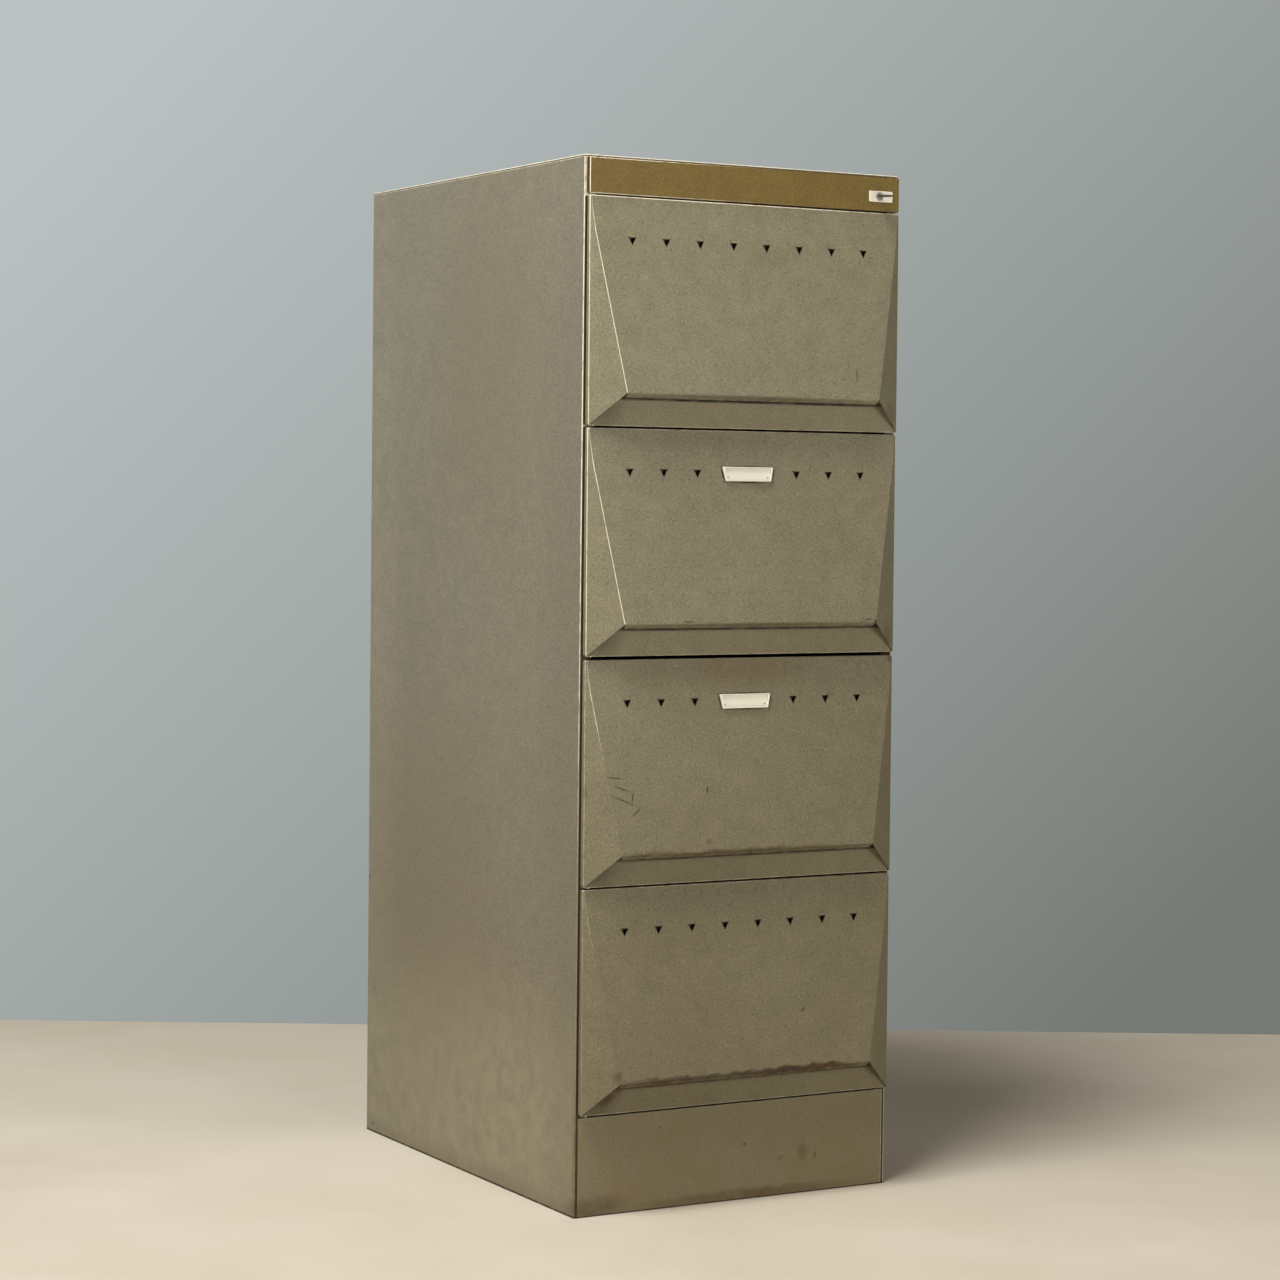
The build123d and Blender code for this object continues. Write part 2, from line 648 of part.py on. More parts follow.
def lock_plug():
    """Turning plug with a flat keyway and a hole for the cam's screw."""
    plug = rod(PLUG_R, (ahead(NOSE_FACE), ahead(PLUG_BACK)), LOCK_X, LOCK_Z)
    half_w = KEY_W / 2 + KEY_FIT
    half_t = KEY_T / 2 + KEY_FIT
    way_y = (ahead(NOSE_FACE + SHEET), ahead(NOSE_FACE - KEY_BLADE_L - KEY_FIT))
    way = block((LOCK_X - half_w, LOCK_X + half_w), way_y, (LOCK_Z - half_t, LOCK_Z + half_t))
    tap_y = (ahead(PLUG_BACK + CAM_SCREW_L - CAM_T), ahead(PLUG_BACK - SHEET))
    return plug - way - rod(CAM_SCREW_SHANK_R, tap_y, LOCK_X, LOCK_Z)


def key():
    """Flat key with a round bow, lying flat as the lock stands open."""
    blade_x = (LOCK_X - KEY_W / 2, LOCK_X + KEY_W / 2)
    blade_y = (ahead(NOSE_FACE + KEY_NECK + SHEET), ahead(NOSE_FACE - KEY_BLADE_L))
    blade = block(blade_x, blade_y, (LOCK_Z - KEY_T / 2, LOCK_Z + KEY_T / 2))
    middle = NOSE_FACE + KEY_NECK + KEY_BOW_R
    bow = Pos(LOCK_X, ahead(middle), LOCK_Z) * Cylinder(KEY_BOW_R, KEY_BOW_T)
    hole = Pos(LOCK_X, ahead(middle + KEY_HOLE_OUT), LOCK_Z) * Cylinder(KEY_HOLE_R, 2 * KEY_BOW_T)
    return blade + bow - hole


def lock_cam():
    """Arm on the plug's tail whose pin lifts and drops the lock bar."""
    y = (ahead(PLUG_BACK), ahead(CAM_BACK))
    arm = block((0, CAM_ARM), y, (-CAM_ARM_HALF, CAM_ARM_HALF))
    arm = Pos(LOCK_X, 0, LOCK_Z) * Rot(0, -math.degrees(CAM_REST_ANGLE), 0) * arm
    cam = rod(CAM_R, y, LOCK_X, LOCK_Z) + arm + rod(CAM_ARM_HALF, y, PIN_X, PIN_Z)
    cam += rod(CAM_PIN_R, (y[0], ahead(BAR_FRONT - BAR_T)), PIN_X, PIN_Z)
    return cam - rod(CAM_SCREW_SHANK_R, (y[0] - SHEET, y[1] + SHEET), LOCK_X, LOCK_Z)


def cam_screw():
    """Screw that holds the cam on the plug."""
    shank_y = (ahead(PLUG_BACK + CAM_SCREW_L - CAM_T), ahead(CAM_BACK))
    head_y = (ahead(CAM_BACK), ahead(CAM_BACK - CAM_SCREW_HEAD))
    shank = rod(CAM_SCREW_SHANK_R, shank_y, LOCK_X, LOCK_Z)
    return shank + rod(CAM_SCREW_R, head_y, LOCK_X, LOCK_Z)


def lock_bar():
    """Upright flat bar, its lower end tapered to lead into the guides."""
    y = (ahead(BAR_FRONT), ahead(BAR_FRONT - BAR_T))
    bar = block((BAR_X, BAR_X + BAR_W), y, (PLINTH_H + BAR_LOW, BAR_HEAD_Z[1]))
    return chamfer(bar.edges().filter_by(Axis.Y).sort_by(Axis.Z)[:2], BAR_TAPER)


def lock_bar_head():
    """Forked arm at the top of the bar that the cam's pin moves up and down."""
    y = (ahead(BAR_FRONT), ahead(BAR_FRONT - BAR_T))
    inner = LOCK_X + CAM_SCREW_R + 2 * FIT_GAP
    half = CAM_PIN_R + BAR_SLOT_GAP
    fork_z = (PIN_Z - half, PIN_Z + half)
    fork = block((0, LOCK_X + CAM_ARM + half), (y[0] - SHEET, y[1] + SHEET), fork_z)
    return block((inner, BAR_X), y, BAR_HEAD_Z) - fork


def lock_bar_hooks():
    """One hook for each drawer on the bar's inner edge."""
    x = (BAR_X - HOOK_REACH, BAR_X)
    y = (ahead(BAR_FRONT), ahead(BAR_FRONT - BAR_T))
    return [block(x, y, hook_zone(number)) for number in range(1, DRAWERS + 1)]


def lock_bar_guides():
    """Straps on the upright that the bar slides in, between the drawers."""
    y = (ahead(BAR_FRONT) - GUIDE_WALL, ahead(BAR_FRONT - BAR_T) + GUIDE_WALL)
    x = (OPENING_X + UPRIGHT_T, BAR_X + BAR_W + GUIDE_FIT + SHEET)
    inner_x = (BAR_X - GUIDE_FIT, BAR_X + BAR_W + GUIDE_FIT)
    inner_y = (y[0] + GUIDE_WALL - GUIDE_FIT, y[1] - GUIDE_WALL + GUIDE_FIT)
    found = []
    for number in range(1, DRAWERS + 1):
        low = drawer_base(number) + RUNNER_LOW + RUNNER_H
        z = (low, low + GUIDE_H)
        found.append(block(x, y, z) - block(inner_x, inner_y, (z[0] - SHEET, z[1] + SHEET)))
    return found


# ---------------------------------------------------------------- build


def build_case():
    side = side_panel()
    write("right_side_panel", [side])
    write("left_side_panel", [mirror(side, Plane.YZ)])
    write("back_panel", [back_panel()])
    write("top_panel", [top_panel()])
    write("base_pan", [base_pan()])
    write("plinth_front", [plinth_front()])
    write("front_right_upright", [front_right_upright()])
    write("front_left_upright", [mirror(upright(UPRIGHT_DEPTH, True), Plane.YZ)])
    write("rear_uprights", pair(upright(REAR_UPRIGHT_DEPTH, False)))
    write("fascia_rail", [fascia_rail()])
    write("fascia_cover", [fascia_cover()])
    runners = []
    for number in range(1, DRAWERS + 1):
        runners += pair(case_runner(number))
    write("case_runners", runners)
    write("rear_buffers", rear_buffers())


def build_lock():
    write("lock_plate", [lock_plate()])
    write("lock_housing", [lock_housing()])
    write("lock_nut", [lock_nut()])
    write("lock_plug", [lock_plug()])
    write("lock_cam", [lock_cam()])
    write("lock_cam_screw", [cam_screw()])
    write("key", [key()])
    write("lock_bar", [lock_bar()])
    write("lock_bar_head", [lock_bar_head()])
    write("lock_bar_hooks", lock_bar_hooks())
    write("lock_bar_guides", lock_bar_guides())


def build_drawers():
    pieces = {
        "front": [drawer_front()],
        "pull_plate": [pull_plate()],
        "inner_front": [inner_front()],
        "tray": [tray()],
        "runners": pair(drawer_runner()),
        "cradle": [cradle()],
        "glides": glides(),
        "lock_catch": [catch()],
    }
    labels = {"label_holder": [label_holder()], "label_card": [label_card()]}
    for number in range(1, DRAWERS + 1):
        here = Pos(0, 0, drawer_base(number))
        wanted = dict(pieces)
        if number in LABELLED:
            wanted.update(labels)
        for name, shapes in wanted.items():
            write(f"drawer_{number}_{name}", [here * shape for shape in shapes])


os.makedirs("parts", exist_ok=True)
build_case()
build_lock()
build_drawers()
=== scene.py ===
"""Old four-drawer filing cabinet in stove-enamelled sheet steel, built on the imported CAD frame.

Laid out as an add-on: sizes and colours are scene properties, each piece has its operator, and a
sidebar panel lists them. Run as a script, main() makes everything in order. Metres throughout.
"""
import json
import math

import bmesh
import bpy
from bpy.props import FloatProperty, FloatVectorProperty, IntProperty, PointerProperty
from bpy.types import Operator, Panel, PropertyGroup
from mathutils import Matrix, Vector


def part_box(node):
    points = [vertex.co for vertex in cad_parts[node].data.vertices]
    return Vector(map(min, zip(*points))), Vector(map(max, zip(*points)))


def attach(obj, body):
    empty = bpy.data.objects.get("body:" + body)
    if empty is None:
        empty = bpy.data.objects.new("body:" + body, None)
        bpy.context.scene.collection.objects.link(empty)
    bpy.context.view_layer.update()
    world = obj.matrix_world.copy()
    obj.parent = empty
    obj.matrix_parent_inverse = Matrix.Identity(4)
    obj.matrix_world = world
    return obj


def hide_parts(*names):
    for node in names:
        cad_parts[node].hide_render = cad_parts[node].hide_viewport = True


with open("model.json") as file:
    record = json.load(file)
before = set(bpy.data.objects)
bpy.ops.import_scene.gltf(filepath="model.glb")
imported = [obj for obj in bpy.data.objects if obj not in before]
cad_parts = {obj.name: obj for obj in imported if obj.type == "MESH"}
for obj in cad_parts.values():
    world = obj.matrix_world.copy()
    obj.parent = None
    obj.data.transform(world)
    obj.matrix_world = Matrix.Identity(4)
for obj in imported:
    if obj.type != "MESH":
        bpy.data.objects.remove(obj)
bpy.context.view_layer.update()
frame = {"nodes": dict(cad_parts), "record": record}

bl_info = {
    "name": "Filing Cabinet",
    "version": (1, 0, 0),
    "blender": (4, 5, 0),
    "location": "View3D > Sidebar > Cabinet",
    "description": "Makes the visible pieces and finishes of a four-drawer steel filing cabinet",
    "category": "Object",
}

MM = 0.001

# ---- places read from the CAD, in metres ----
SIDE_LOW, SIDE_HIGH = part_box("right_side_panel")
LID_LOW, LID_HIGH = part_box("top_panel")
PLINTH_LOW, PLINTH_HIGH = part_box("plinth_front")
COVER_LOW, COVER_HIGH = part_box("fascia_cover")
PLATE_LOW, PLATE_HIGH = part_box("lock_plate")
BARREL_LOW, BARREL_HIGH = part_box("lock_housing")
BARREL_R = (BARREL_HIGH.x - BARREL_LOW.x) / 2
LOCK = (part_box("lock_plug")[0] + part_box("lock_plug")[1]) / 2
FRONT_Y = SIDE_LOW.y
HALF_W = SIDE_HIGH.x
DRAWERS = (1, 2, 3, 4)
LABELLED = (2, 3)
BASES = {n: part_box(f"drawer_{n}_front")[0].z for n in DRAWERS}
HALF_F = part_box("drawer_1_front")[1].x
FRONT_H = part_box("drawer_1_front")[1].z - BASES[1]

# ---- shape of a drawer front, as in the CAD: heights from its bottom edge, "proud" from the case ----
EDGE_TOP = 8 * MM
EDGE_BOTTOM = 9.5 * MM
APEX_H = FRONT_H - 7 * MM
APEX_EASE = 5 * MM
LIP_H = 40 * MM
LIP_PROUD = 32.5 * MM
LIP_ROOT = 25 * MM
LIP_EDGE_H = 34 * MM
LIP_RETURN_H = 48 * MM
RIDGE_INSET = 42.5 * MM
FACET_SLOPE = 0.541
FACET_BACK = 9.3 * MM
FACET_BACK_SLOPE = 0.5464
BACK_PROUD = 2 * MM
SLOPE = (LIP_PROUD - EDGE_TOP) / (APEX_H - LIP_H)
PANEL_OUT = Vector((0.0, -1.0, SLOPE)).normalized()
SLOT_LINE_H = FRONT_H - 54.8 * MM
PULL_PROUD = 9.2 * MM
PULL_TOP_H = 70.6 * MM
PULL_BACK = 3.1 * MM
PULL_UNDER_LIP = 27.3 * MM
PULL_BEND = 1.6 * MM
PULL_PLAY = 1.6 * MM

# ---- the rest: the lid's centring flange, the play beside the plinth, how far wear and painted light reach from a
# front's ridge and from its back edge, how near to its side edge a ridge and a facet's foot come,
# a label holder's corners, the smallest bend, and the longest side of a bend's faces ----
FLANGE_H = 12 * MM
FLANGE_INSET = 50.6 * MM
PLAY = 0.3 * MM
RIDGE_WEAR_AND_LIGHT_REACH = 1 * MM
BACK_WEAR_AND_LIGHT_REACH = 0.8 * MM
RIDGE_NEAR = 3 * MM
FACET_NEAR = 2.4 * MM
LABEL_CORNER = 0.9 * MM
HAIR = 0.2 * MM
BEND_FACE = 1.6 * MM

# steps round a bend, and the column where the ridge ends in half a row of a front's points
BEND_STEPS = 4
RIDGE_END = BEND_STEPS + 1

# How pale each edge is painted, drawer by drawer, as the photograph shows it: thinned paint together
# with a painted highlight where an edge faces the light. Columns: the left ridge and the share of its height
# where that ends, the left and right side edges (below nought is painted shade, on the right edges that face
# away from the light), the top edge, and how dirty the lip's underside is.
EDGE_WEAR_AND_LIGHT_BY_DRAWER = {
    1: {"ridge": 1.0, "fade": 0.0, "left": 1.0, "right": -0.9, "top": 1.0, "lip": 0.1},
    2: {"ridge": 1.0, "fade": 0.0, "left": 0.9, "right": -0.9, "top": 0.4, "lip": 0.15},
    3: {"ridge": 0.6, "fade": 0.5, "left": 0.3, "right": -0.8, "top": 0.2, "lip": 0.4},
    4: {"ridge": 0.3, "fade": 0.6, "left": 0.2, "right": -0.8, "top": 0.35, "lip": 0.6},
}
# the right ridge keeps only this share of the painted highlight and paint wear, as it faces away from the
# light
RIGHT_RIDGE_WEAR_AND_HIGHLIGHT = 0.12

# tints of the stains and painted shade: rust, brown dirt, the black of old grease and of painted shadow, and
# painted shadow at a moulding's foot
RUST, DARK, BLACK, MOULDING_SHADOW = "4A3318", "2E2717", "15110A", "2E2718"


def linear(code):
    """An sRGB hex colour as Blender's linear RGBA. A colour property is linear already."""
    if not isinstance(code, str):
        return code
    parts = [int(code[i:i + 2], 16) / 255 for i in (0, 2, 4)]
    return tuple(p / 12.92 if p <= 0.04045 else ((p + 0.055) / 1.055) ** 2.4 for p in parts) + (1.0,)


def length(name, default, description):
    return FloatProperty(name=name, description=description, default=default, min=0.0, unit="LENGTH")


def colour(name, code, description):
    return FloatVectorProperty(name=name, description=description, default=linear(code), size=4,
                               min=0.0, max=1.0, subtype="COLOR")


class CabinetSizes(PropertyGroup):
    """Sizes that a user would change."""
    skin: length("Front skin", 1.2 * MM, "Sheet thickness of a drawer front")
    sheet: length("Case sheet", 1.0 * MM, "Sheet thickness of the case")
    ridge_bend: length("Ridge bend", 2.6 * MM, "Bend radius of a front's slanting ridges")
    side_bend: length("Side bend", 1.5 * MM, "Bend radius of a front's edges")
    lip_bend: length("Lip bend", 1.5 * MM, "Bend radius where the panel turns back")
    front_corner: length("Front corners", 3.5 * MM, "Radius of a front's corners seen from the front")
    case_bend: length("Case bend", 4.0 * MM, "Bend radius of the case's front corners")
    rear_bend: length("Rear bend", 2.0 * MM, "Bend radius of the case's rear corners")
    pan_bend: length("Cover bend", 1.1 * MM, "Bend radius of lid, fascia and plinth edges")
    slot_count: IntProperty(name="Slots", description="Index slots in each front", default=8, min=1)
    slot_pitch: length("Slot pitch", 48.7 * MM, "Distance from slot to slot")
    slot_width: length("Slot width", 9.5 * MM, "Width of a slot's upper side")
    slot_height: length("Slot height", 8.5 * MM, "Height of a slot")
    label_top: length("Label top", 74.5 * MM, "Upper width of a label holder")
    label_bottom: length("Label bottom", 66.5 * MM, "Lower width of a label holder")
    label_height: length("Label height", 18.3 * MM, "Height of a label holder")
    label_depth: length("Label depth", 4.0 * MM, "How far a label holder stands out")
    label_rim: length("Label rim", 2.6 * MM, "Width of a label holder's rim at its sides and below")
    label_top_rim: length("Label top rim", 1.5 * MM, "Width of a label holder's rim above the card")


class CabinetColours(PropertyGroup):
    """Colours that a user would change."""
    enamel: colour("Enamel", "928D7C", "Case enamel, upper part")
    # the lower case colour is darker and yellower: partly soiling, partly painted shade where less light
    # reaches low down
    enamel_low: colour("Enamel, low", "897F67", "Case enamel towards the floor, yellowed and dirty")
    front: colour("Fronts", "938E76", "Enamel of the drawer fronts")
    # the lower front colour is darker and yellower: partly soiling, partly painted shade where less light
    # reaches low down
    front_low: colour("Fronts, low", "766C50", "Enamel of the lower drawer fronts")
    fascia: colour("Fascia", "846F37", "Ochre enamel of the fascia")
    # pale edges: thinned paint, with painted highlights on bends that face the light
    edge_wear_and_light: colour("Rubbed edges", "F2EAD4", "Pale primer where paint is rubbed thin")
    # dark gaps, creases and floor lines: soiling, with painted shade
    grime_and_shade: colour("Grime", "3A2C18", "Brown dirt and rust bloom")
    label: colour("Label holders", "FFFDF6", "Moulded label holders")
    card: colour("Cards", "F7F8EE", "Index cards")
    plate: colour("Lock plate", "F8F5EA", "Moulded plate round the lock")


# ------------------------------------------------------------------ meshes


def bend(corners, steps=BEND_STEPS):
    """Round the inner corners of an open path of (a, b, radius), each with at most 0.45 of its legs.
    Gives (a, b, 0 at a bend's ends to 1 in its middle)."""
    path = [(*corners[0][:2], 0.0)]
    for before, here, after in zip(corners, corners[1:], corners[2:]):
        point = Vector(here[:2])
        back = Vector(before[:2]) - point
        ahead = Vector(after[:2]) - point
        reach = max(here[2] * math.tan((math.pi - back.angle(ahead)) / 2), HAIR)
        reach = min(reach, 0.45 * back.length, 0.45 * ahead.length)
        start = point + back.normalized() * reach
        end = point + ahead.normalized() * reach
        for k in range(steps + 1):
            t = k / steps
            place = start * (1 - t) ** 2 + point * (2 * t * (1 - t)) + end * t ** 2
            path.append((place.x, place.y, math.sin(math.pi * t)))
    return path + [(*corners[-1][:2], 0.0)]


def towards(a, b, distance):
    """A path point this far from a towards b, at most halfway."""
    start, end = Vector(a[:2]), Vector(b[:2])
    t = min(distance / max((end - start).length, 1e-9), 0.5)
    place = start.lerp(end, t)
    return (place.x, place.y, 0.0)


class Skin:
    """A sheet's outer skin while it is being laid out, with each point's wear and painted light."""

    def __init__(self):
        self.mesh = bmesh.new()
        self.wear_and_painted_light = self.mesh.verts.layers.float.new("wear_and_painted_light")

    def row(self, places):
        """Points from (x, y, z, wear and painted light)."""
        made = [self.mesh.verts.new(place[:3]) for place in places]
        for vert, place in zip(made, places):
            vert[self.wear_and_painted_light] = place[3]
        return made

    def span(self, low, high, closed=False):
        """Faces between two rows with as many points."""
        for face in zip(low, low[1:], high[1:], high):
            self.mesh.faces.new(face)
        if closed:
            self.mesh.faces.new((low[-1], low[0], high[0], high[-1]))

    def loft(self, rows, closed=False):
        for low, high in zip(rows, rows[1:]):
            self.span(low, high, closed)

    def shell(self, rings, floor=False):
        """Faces through rings of points and over the last one, and for a floor under the first."""
        rows = [self.row(ring) for ring in rings]
        self.loft(rows, closed=True)
        self.mesh.faces.new(rows[-1])
        if floor:
            self.mesh.faces.new(rows[0][::-1])
        return self

    def tube(self, rings):
        """Faces through rings of points, and from the last one to the first."""
        rows = [self.row(ring) for ring in rings]
        self.loft(rows + rows[:1], closed=True)
        return self

    def outwards(self):
        """Turn every face outwards."""
        bmesh.ops.recalc_face_normals(self.mesh, faces=self.mesh.faces)
        return self

    def piece(self, name):
        mesh = bpy.data.meshes.new(name)
        self.mesh.to_mesh(mesh)
        self.mesh.free()
        obj = bpy.data.objects.new(name, mesh)
        bpy.context.scene.collection.objects.link(obj)
        return obj


def settle(obj):
    """Turn an object's modifiers into its plain mesh."""
    mesh = bpy.data.meshes.new_from_object(obj.evaluated_get(bpy.context.evaluated_depsgraph_get()))
    old = obj.data
    obj.modifiers.clear()
    obj.data = mesh
    bpy.data.meshes.remove(old)


def wall(obj, thickness):
    """Give an outer skin its sheet thickness, inwards."""
    solid = obj.modifiers.new("sheet", "SOLIDIFY")
    solid.thickness = thickness
    solid.offset = -1.0
    solid.use_even_offset = True
    solid.use_quality_normals = True
    settle(obj)


def bore(obj, rings):
    """Cut a hole through a piece, from two rings of points that lie beyond its faces."""
    cutter = Skin().shell(rings, floor=True).outwards().piece("bore")
    cut = obj.modifiers.new("bore", "BOOLEAN")
    cut.object = cutter
    cut.operation = "DIFFERENCE"
    cut.solver = "EXACT"
    settle(obj)
    bpy.data.objects.remove(cutter)


def place_piece(obj, body, slot_name, *nodes, crisp=40.0):
    """Shade the bends smooth and the flats flat, give the finish, and hang the piece on its body."""
    mesh = obj.data
    work = bmesh.new()
    work.from_mesh(mesh)
    if work.calc_volume(signed=True) <= 0:
        raise RuntimeError(f"{obj.name}: faces point inwards")
    work.free()
    for face in mesh.polygons:
        sides = [(mesh.vertices[a].co - mesh.vertices[b].co).length for a, b in face.edge_keys]
        face.use_smooth = min(sides) < BEND_FACE or len(sides) == 3
        face.material_index = 0
    mesh.set_sharp_from_angle(angle=math.radians(crisp))
    mesh.materials.clear()
    mesh.materials.append(finish(slot_name))
    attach(obj, body)
    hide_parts(*nodes)


def ring(half_u, half_v, corner):
    """A rounded rectangle as (u, v) points, anticlockwise."""
    points = []
    for quarter, (su, sv) in enumerate(((1, 1), (-1, 1), (-1, -1), (1, -1))):
        for k in range(BEND_STEPS + 1):
            angle = (quarter + k / BEND_STEPS) * math.pi / 2
            points.append((su * (half_u - corner) + corner * math.cos(angle),
                           sv * (half_v - corner) + corner * math.sin(angle)))
    return points


def axes_at(place, right, out):
    """A matrix with its origin at a place, its X to the right and its Z outwards."""
    return Matrix.Translation(place) @ Matrix((right, out.cross(right), out)).transposed().to_4x4()


def circle(radius, steps):
    """Points (u, v) round a circle."""
    turns = [k / steps * 2 * math.pi for k in range(steps)]
    return [(radius * math.cos(a), radius * math.sin(a)) for a in turns]


def pan_skin(half_u, half_v, corner, levels, place):
    """A shallow pan: rings at (height, inset, wear and painted light) levels, closed at the last one."""
    rings = []
    for height, inset, wear_and_painted_light in levels:
        around = ring(half_u - inset, half_v - inset, max(corner - inset, HAIR))
        rings.append([(*place(u, v, height), wear_and_painted_light) for u, v in around])
    return Skin().shell(rings)


def rolled(top, radius, wear_and_painted_light):
    """Levels of a bend from a pan's side to its face."""
    turns = [k / BEND_STEPS * math.pi / 2 for k in range(BEND_STEPS + 1)]
    return [(top - radius * (1 - math.sin(a)), radius * (1 - math.cos(a)), wear_and_painted_light * math.sin(2 * a))
            for a in turns]


def turned(profile, steps=40):
    """Rings of points about the lock's axis, from (radius, y) points."""
    return [[(LOCK.x + u, y, LOCK.z + v, 0.0) for u, v in circle(radius, steps)] for radius, y in profile]


# ------------------------------------------------------------------ finishes


def live(node):
    """A node's first output in use."""
    return next(socket for socket in node.outputs if socket.enabled)


def add(tree, kind, *inputs, **settings):
    """Add one node with its settings and links. Its inputs, in their order or in a dict by name or
    number, are values, sockets or nodes. A kind that doesn't say "Node" is a shader node."""
    node = tree.nodes.new(kind if "Node" in kind else "ShaderNode" + kind)
    for name, value in settings.items():
        setattr(node, name, value)
    named = inputs[0] if inputs and isinstance(inputs[0], dict) else dict(enumerate(inputs))
    for key, value in named.items():
        if isinstance(value, bpy.types.Node):
            value = live(value)
        if isinstance(value, bpy.types.NodeSocket):
            tree.links.new(value, node.inputs[key])
        else:
            node.inputs[key].default_value = value
    return node


def surface(name, **constants):
    """A new material with its principled shader; constants sit on the shader's own sockets."""
    material = bpy.data.materials.new(name)
    material.use_nodes = True
    tree = material.node_tree
    tree.nodes.clear()
    shader = add(tree, "BsdfPrincipled", {k.replace("_", " "): v for k, v in constants.items()})
    add(tree, "OutputMaterial", {"Surface": shader})
    where = add(tree, "TexCoord").outputs["Object"]
    return material, tree, shader, where


def dress(tree, shader, base, rough, relief, strength, depth):
    """Link a finish's colour, its roughness and the bump of a noise as deep as this to its shader."""
    bump = add(tree, "Bump", {"Height": relief, "Strength": strength, "Distance": depth})
    for name, node in (("Base Color", base), ("Roughness", rough), ("Normal", bump)):
        tree.links.new(live(node), shader.inputs[name])


def patch(tree, where, centre, radii, tilt, strength, core):
    """A patch's cover at a set place, for stain and painted shade alike: full within its core, a share of its
    radii, and none past them.
    """
    local = add(tree, "Mapping", {"Vector": where, "Location": centre, "Rotation": (0.0, tilt, 0.0),
                                  "Scale": radii}, vector_type="TEXTURE")
    far = add(tree, "VectorMath", local, operation="LENGTH")
    return add(tree, "MapRange", {"Value": far, "From Min": 1.0, "From Max": core, "To Max": strength},
               interpolation_type="SMOOTHSTEP")


def slot_shade_and_grime(tree, parts):
    """Painted shade and soiling round the punched slots: thick at a slot's edge, and none 1 mm outside it."""
    s = bpy.context.scene.cabinet_sizes
    reach, thick = 1.0 * MM, 0.3 * MM
    half_w, half_h = s.slot_width / 2, s.slot_height / 2
    slant = math.hypot(half_w, s.slot_height)
    column = add(tree, "Math", parts.outputs["X"], s.slot_pitch, 0.0, operation="WRAP")
    column = add(tree, "Math", column, s.slot_pitch / 2, operation="SUBTRACT")
    across = add(tree, "Math", column, operation="ABSOLUTE")
    near = None
    for base in BASES.values():
        up = add(tree, "Math", parts.outputs["Z"], base + SLOT_LINE_H, operation="SUBTRACT")
        above = add(tree, "Math", up, half_h, operation="SUBTRACT")
        edge = add(tree, "Math", up, -half_w / slant, -half_h * half_w / slant, operation="MULTIPLY_ADD")
        beside = add(tree, "Math", across, s.slot_height / slant, edge, operation="MULTIPLY_ADD")
        outside = add(tree, "Math", above, beside, operation="MAXIMUM")
        near = outside if near is None else add(tree, "Math", near, outside, operation="MINIMUM")
    amount = add(tree, "MapRange", {"Value": near, "From Min": reach, "From Max": thick, "To Max": 0.9})
    span = add(tree, "Math", parts.outputs["X"], operation="ABSOLUTE")
    within = add(tree, "Math", span, s.slot_pitch * s.slot_count / 2, operation="LESS_THAN")
    return add(tree, "Math", amount, within, operation="MULTIPLY")


